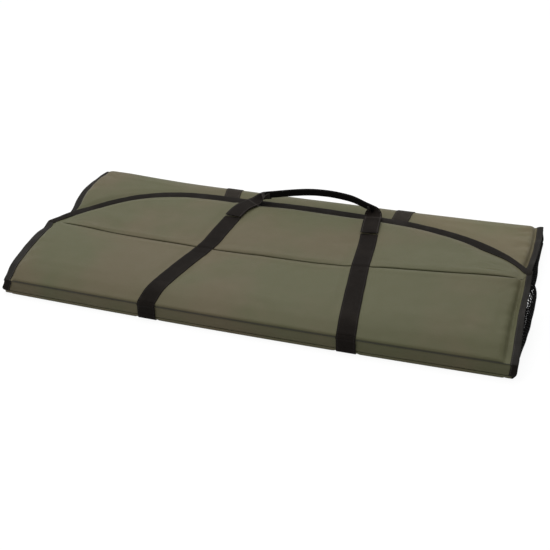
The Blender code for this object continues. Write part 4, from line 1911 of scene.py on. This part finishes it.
@dataclass
class NetEnd:
    """A net gusset between the base and a folded wall, slack and bunched while the mat is folded."""

    assembly: SideAssembly
    side: Side
    bulge: float
    inner_bulge: float
    reach_past: float
    tail: float
    cell: float = 0.0072
    cord: float = 0.0021
    rows: int = 7

    @property
    def depths(self) -> tuple[float, float]:
        """How far from the mat's middle line the net starts and ends."""
        return SIZES.crease_y - 0.010, SIZES.seam_y - self.reach_past

    def build(self) -> None:
        """Makes the net's cords."""
        first, last = self.depths
        bm = bmesh.new()
        unit_grid(bm, round((first - last) / self.cell), self.rows)
        old = list(bm.edges)
        bmesh.ops.poke(bm, faces=list(bm.faces))
        inner = [edge for edge in old if not edge.is_boundary]
        bmesh.ops.dissolve_edges(bm, edges=inner, use_verts=False)
        for vert in bm.verts:
            vert.co = self.place((vert.co.x + 1) / 2, (vert.co.y + 1) / 2)
        prefix, middle = self.assembly.prefix, self.assembly.face.value * 0.15
        net = new_piece(f"{prefix}_netting_{self.side.label}", bm, self.assembly.finishes.net)
        cords = {"use_boundary": True, "use_replace": True, "use_even_offset": False}
        modify(net, "Cords", "WIREFRAME", thickness=self.cord, offset=0.0, **cords)
        span = ((0.0, middle, 0.0075), (0.0, middle, 0.0300))
        bridge(net, ("base", f"{prefix}_wall"), span, "net_cord", f"{prefix}_net_{self.side.label}")

    def place(self, run: float, rise: float) -> Vector:
        """Where a point of the net lies, by its shares from the crease inwards and from the base upwards.

        Args:
            run: share of the way in from the crease.
            rise: share of the way up.

        Returns:
            The point.
        """
        y = mixed(*self.depths, run)
        distance = min(SIZES.crease_y - y, SIZES.wall_depth - 0.002)
        edge = self.assembly.wall.point(self.side.value * SIZES.half_length, distance, 0.0)
        low, high = 0.0066, edge.z - 0.0028
        inner = smooth((run - 0.35) / 0.5)
        full = mixed(self.bulge, self.inner_bulge, inner) * max(sin(pi * min(run * 1.6, 1) / 2), 0.0) ** 0.75
        fold = uneven(y * 34, rise * 2.0, self.side.value * 3.0) * 0.0010
        tail = 1 - self.tail * smooth((run - 0.89) / 0.11)
        swell = (full * sin(pi * rise) ** 0.8 + fold * sin(pi * rise)) * tail
        x = SIZES.half_length - 0.0055 - SIZES.drawn_in(y) * (1 - rise) + swell
        droop = 0.0020 * sin(pi * rise) * uneven(y * 22, 3.0, 1.0)
        return Vector((self.side.value * x, self.assembly.face.value * y, mixed(low, high, rise) + droop))


@dataclass
class FrontHandle:
    """The carrying handle that lies back over the rear edge: two free webs and the folded grip."""

    assembly: SideAssembly
    start_y: float = 0.0975
    web_z: float = 0.0562
    grip_y: float = 0.1875
    left_x: float = -0.0866
    right_x: float = 0.1590
    foot_z: float = 0.0616
    arc: tuple = (
        (0.0, 0.0010), (0.03, 0.0030), (0.22, 0.0125), (0.41, 0.0195), (0.60, 0.0212), (0.79, 0.0160), (0.95, 0.0050),
        (1.0, 0.0010),
    )
    height: float = 0.0170
    lean: float = 0.0040

    def build(self) -> None:
        """Makes the webs and the grip."""
        for side in Side:
            self.build_web(side)
        self.build_grip()

    def web_line(self, side: Side) -> tuple[list[Vector], list[Vector]]:
        """The web's middle line and its heading, from the sewn end to the grip.

        Args:
            side: the end of the mat.

        Returns:
            The points and the headings.
        """
        run = SIZES.wall_depth + SIZES.sewn_length
        start = Vector((SIZES.strap_centre(side, run - 0.0005, Face.FRONT), self.start_y - 0.0005, self.web_z))
        inward = -side.value
        end = Vector((self.left_x if side is Side.LEFT else self.right_x, self.grip_y, self.foot_z))
        end.x += inward * 0.010
        before = SIZES.strap_centre(side, run - 0.02, Face.FRONT)
        heading = Vector((start.x - before, 0.02, 0)).normalized()
        first = start + heading * 0.072 + Vector((0, 0, 0.0030))
        second = end - Vector((inward * 0.020, 0, 0.001))
        points = []
        for step in range(41):
            share = step / 40
            back = 1 - share
            point = start * back**3 + first * (3 * back * back * share)
            point += second * (3 * back * share * share) + end * share**3
            points.append(point)
        self.lay(points)
        ends = zip(points[:1] + points[:-1], points[1:] + points[-1:])
        return points, [(after - before).normalized() for before, after in ends]

    def under(self, x: float, y: float) -> float:
        """Height of the flap, its strap and its tape under a place.

        Args:
            x: place along the mat.
            y: place across the mat.

        Returns:
            The height.
        """
        flap = self.assembly.flap
        distance = (y - flap.fold_y) * flap.toward
        edge = flap.depth(x)
        near = min(distance, edge - 0.001)
        tape = 0.0012 * smooth((distance - edge + 0.026) / 0.006)
        top = flap.point(x, near, SIZES.stack + flap.filling(x, near) + tape).z
        return mixed(top, 0.0, smooth((distance - edge) / 0.030))

    def lay(self, points: list[Vector]) -> None:
        """Lifts a web's middle line on to the flap under it.

        Args:
            points: points in order.
        """
        lift = SIZES.gap * 2 + SIZES.webbing_skin * 1.5 + 0.0009
        places = [(across, along) for across in (-0.018, 0.0, 0.018) for along in (-0.006, 0.0, 0.006)]
        rests = [max(self.under(point.x + across, point.y + along) for across, along in places) for point in points]
        heights = [max(point.z, rest + lift) for point, rest in zip(points, rests)]
        last = len(points) - 1
        for _ in range(3):
            heights = [
                max((heights[max(index - 1, 0)] + high + heights[min(index + 1, last)]) / 3, rests[index] + lift)
                for index, high in enumerate(heights)
            ]
        for point, high in zip(points[:-3], heights):
            point.z = high

    def build_web(self, side: Side) -> None:
        """One free web, flat where it leaves the flap and folded in half where it meets the grip.

        Args:
            side: the end of the mat.
        """
        points, headings = self.web_line(side)
        cells = 12
        across = [SIZES.webbing_width * row / cells for row in range(cells + 1)]

        def place(step: int, row: int) -> Vector:
            """A point of the web.

            Args:
                step: its step.
                row: its row.

            Returns:
                The point.
            """
            share = step / (len(points) - 1)
            fold = smooth((share - 0.50) / 0.46)
            out = row / cells - 0.5
            level = Vector((headings[step].y, -headings[step].x, 0)).normalized() * (1 if out > 0 else -1)
            turn = radians(84) * fold
            arm = abs(out) * SIZES.webbing_width * (1 - 0.06 * fold)
            lean = Vector((0, -1, 0)) * (self.lean * fold * arm / 0.019)
            point = points[step] + level * (arm * cos(turn) + 0.0010 * fold) + Vector((0, 0, arm * sin(turn))) + lean
            point.z += 0.0010 * sin(pi * min(share * 2.2, 1.0)) * (1 - fold)
            return point

        name = f"front_handle_webbing_{side.label}"
        web = woven(name, running_length(points), across, place, self.assembly.finishes.handle, True)
        soften(thicken(web, SIZES.webbing_skin), 0.0004)
        span = ((0.0, self.start_y - 0.002, 0.054), (0.0, self.start_y + 0.010, 0.054))
        bridge(web, ("front_flap", "front_handle"), span, "webbing", f"front_handle_web_{side.label}")

    def build_grip(self) -> None:
        """The grip: webbing folded in half and sewn, standing on its fold."""
        count, half, tall = 72, 0.0018, self.height
        section = [(half, tall * (1 - step / 6 * 0.88)) for step in range(7)]
        for step in range(1, 6):
            turn = pi * step / 6
            section.append((half * cos(turn), tall * 0.12 * (1 - sin(turn))))
        section += [(-out, up) for out, up in reversed(section[:7])]
        across = running_length([Vector((out, up, 0)) for out, up in section])
        line = []
        for step in range(count + 1):
            share = step / count
            x = mixed(self.left_x - 0.004, self.right_x + 0.004, share)
            back = 0.0070 * smooth(share / 0.5) * smooth((1 - share) / 0.25)
            line.append(Vector((x, self.grip_y + back, self.foot_z + profile(self.arc, share))))

        def place(step: int, row: int) -> Vector:
            """A point of the grip."""
            (x, y, z), (out, up) = line[step], section[row]
            return Vector((x, y + out + uneven(x * 26, up * 30, 5.0) * 0.0005 - self.lean * up / self.height, z + up))

        grip = woven("front_grip_webbing", running_length(line), across, place, self.assembly.finishes.grip, True)
        thicken(grip, SIZES.webbing_skin)
        settle(grip, "front_handle", "webbing", "front_grip")


@dataclass
class RearHandle:
    """The rear side's handle, pressed flat on the rear flap under the front wall."""

    assembly: SideAssembly
    reach: float = 0.0780
    start_y: float = -0.0975
    grip_width: float = 0.0190

    def build(self) -> None:
        """Makes the flat webs and the flat grip."""
        low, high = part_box("rear_handle_web_left")
        web_z = (low[2] + high[2]) / 2
        low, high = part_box("rear_grip")
        for side in Side:
            foot = SIZES.strap_centre(side, SIZES.wall_depth + SIZES.sewn_length, Face.REAR)
            count = 18

            def place(step: int, share: float) -> Vector:
                """A point of the web."""
                x = foot - side.value * 0.025 * smooth(step / count) + share * SIZES.webbing_width
                return Vector((x, self.start_y + 0.0005 - self.reach * (step / count), web_z))

            web = band(f"rear_handle_webbing_{side.label}", count, place, self.assembly.finishes.webbing)
            span = ((0.0, self.start_y + 0.002, web_z), (0.0, self.start_y - 0.010, web_z))
            bridge(web, ("rear_flap", "rear_handle"), span, "webbing", f"rear_handle_web_{side.label}")
        count = 50

        y, z = ((low[axis] + high[axis]) / 2 for axis in (1, 2))

        def along(step: int, share: float) -> Vector:
            """A point of the grip."""
            x = mixed(low[0], high[0], step / count)
            return Vector((x, y + uneven(x * 20, 1.0, 2.0) * 0.0006 - share * self.grip_width, z))

        finish, thick = self.assembly.finishes.grip, high[2] - low[2] - 0.0002
        grip = band("rear_grip_webbing", count, along, finish, width=self.grip_width, thickness=thick)
        settle(grip, "rear_handle", "webbing", "rear_grip")


@dataclass
class Studio:
    """Pale floor, plain soft light and the camera."""

    focal: float = 994.9
    azimuth: float = 19.38
    elevation: float = 32.45
    roll: float = -1.9875
    distance: float = 2.0507
    target: tuple = (0.0157, -0.0715, 0.030)
    image: float = 550.0
    sensor: float = 36.0

    def build(self) -> None:
        """Makes the floor, the world, the lamps and the camera."""
        self.build_floor()
        self.build_world()
        self.build_lamps()
        self.build_camera()
        bpy.context.scene.view_settings.view_transform = "Standard"

    def seen(self, recipe: Recipe) -> Value:
        """1 where the camera, a gloss or a glass looks, 0 where light is gathered.

        Args:
            recipe: the material being mixed.

        Returns:
            The mask.
        """
        path = recipe.node("ShaderNodeLightPath").outputs
        total = Value(recipe, path["Is Camera Ray"]) + Value(recipe, path["Is Glossy Ray"])
        total = total + Value(recipe, path["Is Transmission Ray"])
        return total.math("MINIMUM", total, 1.0)

    def build_floor(self) -> None:
        """The pale floor under the mat."""
        recipe = Recipe("pale_floor")
        recipe.set_surface(Base_Color=(0.62, 0.62, 0.62), Roughness=0.9, Specular_IOR_Level=0.1)
        glow = recipe.node("ShaderNodeEmission", {}, {"Color": (1.0, 1.0, 1.0), "Strength": 1.06})
        pale = recipe.node("ShaderNodeBsdfDiffuse", {}, {"Color": (0.95, 0.95, 0.95)})
        lit = recipe.node("ShaderNodeMixShader", {}, {0: 0.86, 1: pale.outputs[0], 2: glow.outputs[0]})
        output = recipe.tree.nodes["Material Output"]
        parts = {0: self.seen(recipe), 1: recipe.surface.outputs[0], 2: lit.outputs[0]}
        made = recipe.node("ShaderNodeMixShader", {}, parts)
        recipe.join(made.outputs[0], output.inputs["Surface"])
        bm = bmesh.new()
        bmesh.ops.create_grid(bm, x_segments=2, y_segments=2, size=7.0)
        bmesh.ops.translate(bm, verts=bm.verts, vec=(0, 0, -0.0004))
        floor = new_piece("studio_floor", bm, recipe.material)

    def build_world(self) -> None:
        """A soft sky, white where the camera sees it."""
        world = bpy.data.worlds.new("soft_studio")
        bpy.context.scene.world = world
        recipe = Recipe("soft_studio", world)
        background = recipe.tree.nodes["Background"]
        seen = self.seen(recipe)
        background.inputs["Color"].default_value = (1.0, 1.0, 1.0, 1.0)
        recipe.join(0.40 + seen * 0.60, background.inputs["Strength"])

    def build_lamps(self) -> None:
        """A large lamp overhead, a weaker one from the camera's left."""
        for name, place, size, power in (
            ("overhead_softbox", (-0.25, 0.55, 2.1), 2.4, 43.0),
            ("front_softbox", (-1.6, -1.9, 1.5), 1.6, 8.0),
        ):
            lamp = bpy.data.lights.new(name, "AREA")
            configure(lamp, shape="SQUARE", size=size, energy=power)
            made = bpy.data.objects.new(name, lamp)
            bpy.context.scene.collection.objects.link(made)
            made.location = place
            aim = Vector((0.0, 0.0, 0.02)) - Vector(place)
            made.rotation_euler = aim.to_track_quat("-Z", "Y").to_euler()

    def build_camera(self) -> None:
        """The camera, at the photograph's angle."""
        data = bpy.data.cameras.new("studio_camera")
        configure(data, sensor_width=self.sensor, clip_start=0.05, clip_end=60.0)
        data.lens = self.focal / self.image * self.sensor
        camera = bpy.data.objects.new("studio_camera", data)
        bpy.context.scene.collection.objects.link(camera)
        turn, tilt = radians(self.azimuth), radians(self.elevation)
        back = Vector((sin(turn) * cos(tilt), -cos(turn) * cos(tilt), sin(tilt)))
        camera.location = Vector(self.target) + back * self.distance
        aim = (-back).to_track_quat("-Z", "Y").to_matrix().to_4x4()
        spin = Matrix.Rotation(radians(self.roll), 4, "Z")
        camera.rotation_euler = (aim @ spin).to_euler()
        bpy.context.scene.camera = camera


def main() -> None:
    """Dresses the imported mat, sub-assembly by sub-assembly."""
    logging.basicConfig(level=logging.INFO, format="%(message)s")
    finishes = Finishes.make()
    front = SideAssembly(
        finishes,
        Face.FRONT,
        left=FRONT_LEFT_END,
        right=FRONT_RIGHT_END,
        dip=(
            (-0.525, -0.0025), (-0.33, -0.004), (-0.20, -0.005), (-0.10, -0.0055), (0.0, -0.0035), (0.10, -0.001),
            (0.2, 0.0), (0.525, 0.0),
        ),
        flap_slack=(
            (-0.525, -0.010), (-0.517, -0.004), (-0.50, 0.0035), (-0.47, 0.0055), (-0.405, 0.0130), (-0.33, 0.0205),
            (-0.25, 0.021), (-0.13, 0.016), (-0.01, 0.020), (0.11, 0.017), (0.20, 0.009), (0.29, 0.001), (0.33, -0.002),
            (0.41, -0.0045), (0.45, -0.0015), (0.475, 0.001), (0.51, -0.001), (0.525, -0.006),
        ),
        flap_rise=0.0035,
    )
    front.make_panels(
        (
            Pucker(0.506, 0.012, 20, 0.012, 0.006, -0.0030),
            Pucker(0.503, 0.073, 65, 0.012, 0.005, -0.0035),
            Pucker(0.500, 0.118, 80, 0.020, 0.006, -0.0022),
            Pucker(0.499, 0.196, 60, 0.018, 0.008, -0.0030),
            Pucker(-0.505, 0.055, 20, 0.013, 0.008, -0.0030),
            Pucker(-0.495, 0.110, 75, 0.022, 0.008, -0.0016),
        ),
        (Pucker(0.43, 0.03, 15, 0.05, 0.014, -0.0014), Pucker(-0.38, 0.05, -20, 0.06, 0.016, 0.0012)),
    )
    rear = SideAssembly(
        finishes,
        Face.REAR,
        left=REAR_LEFT_END,
        right=REAR_RIGHT_END,
        wall_fill=0.0048,
    )
    rear.make_panels(
        (
            Pucker(0.498, 0.035, -35, 0.030, 0.006, -0.0028),
            Pucker(0.490, 0.062, -25, 0.024, 0.006, -0.0022),
            Pucker(0.496, 0.105, -30, 0.030, 0.008, -0.0024),
            Pucker(-0.498, 0.040, 35, 0.024, 0.007, -0.0024),
        ),
        (),
    )
    Base(finishes).build()
    nets = {
        (Face.FRONT, Side.LEFT): (0.0110, 0.0100, 0.0, 0.55),
        (Face.FRONT, Side.RIGHT): (0.0172, 0.0205, 0.018, 0.9),
        (Face.REAR, Side.LEFT): (0.0060, 0.0070, 0.0, 0.55),
        (Face.REAR, Side.RIGHT): (0.0060, 0.0122, 0.0, 0.1),
    }
    covers = {}
    for assembly in (rear, front):
        covers[assembly.prefix] = assembly.build()
        Spine(assembly).build()
        for side in Side:
            NetEnd(assembly, side, *nets[assembly.face, side]).build()
    Relaxing().run([*covers["front"], *covers["rear"]])
    front.finish_covers(covers["front"])
    rear.finish_covers(covers["rear"])
    FrontHandle(front).build()
    RearHandle(rear).build()
    Studio().build()


if __name__ == "__main__":
    main()
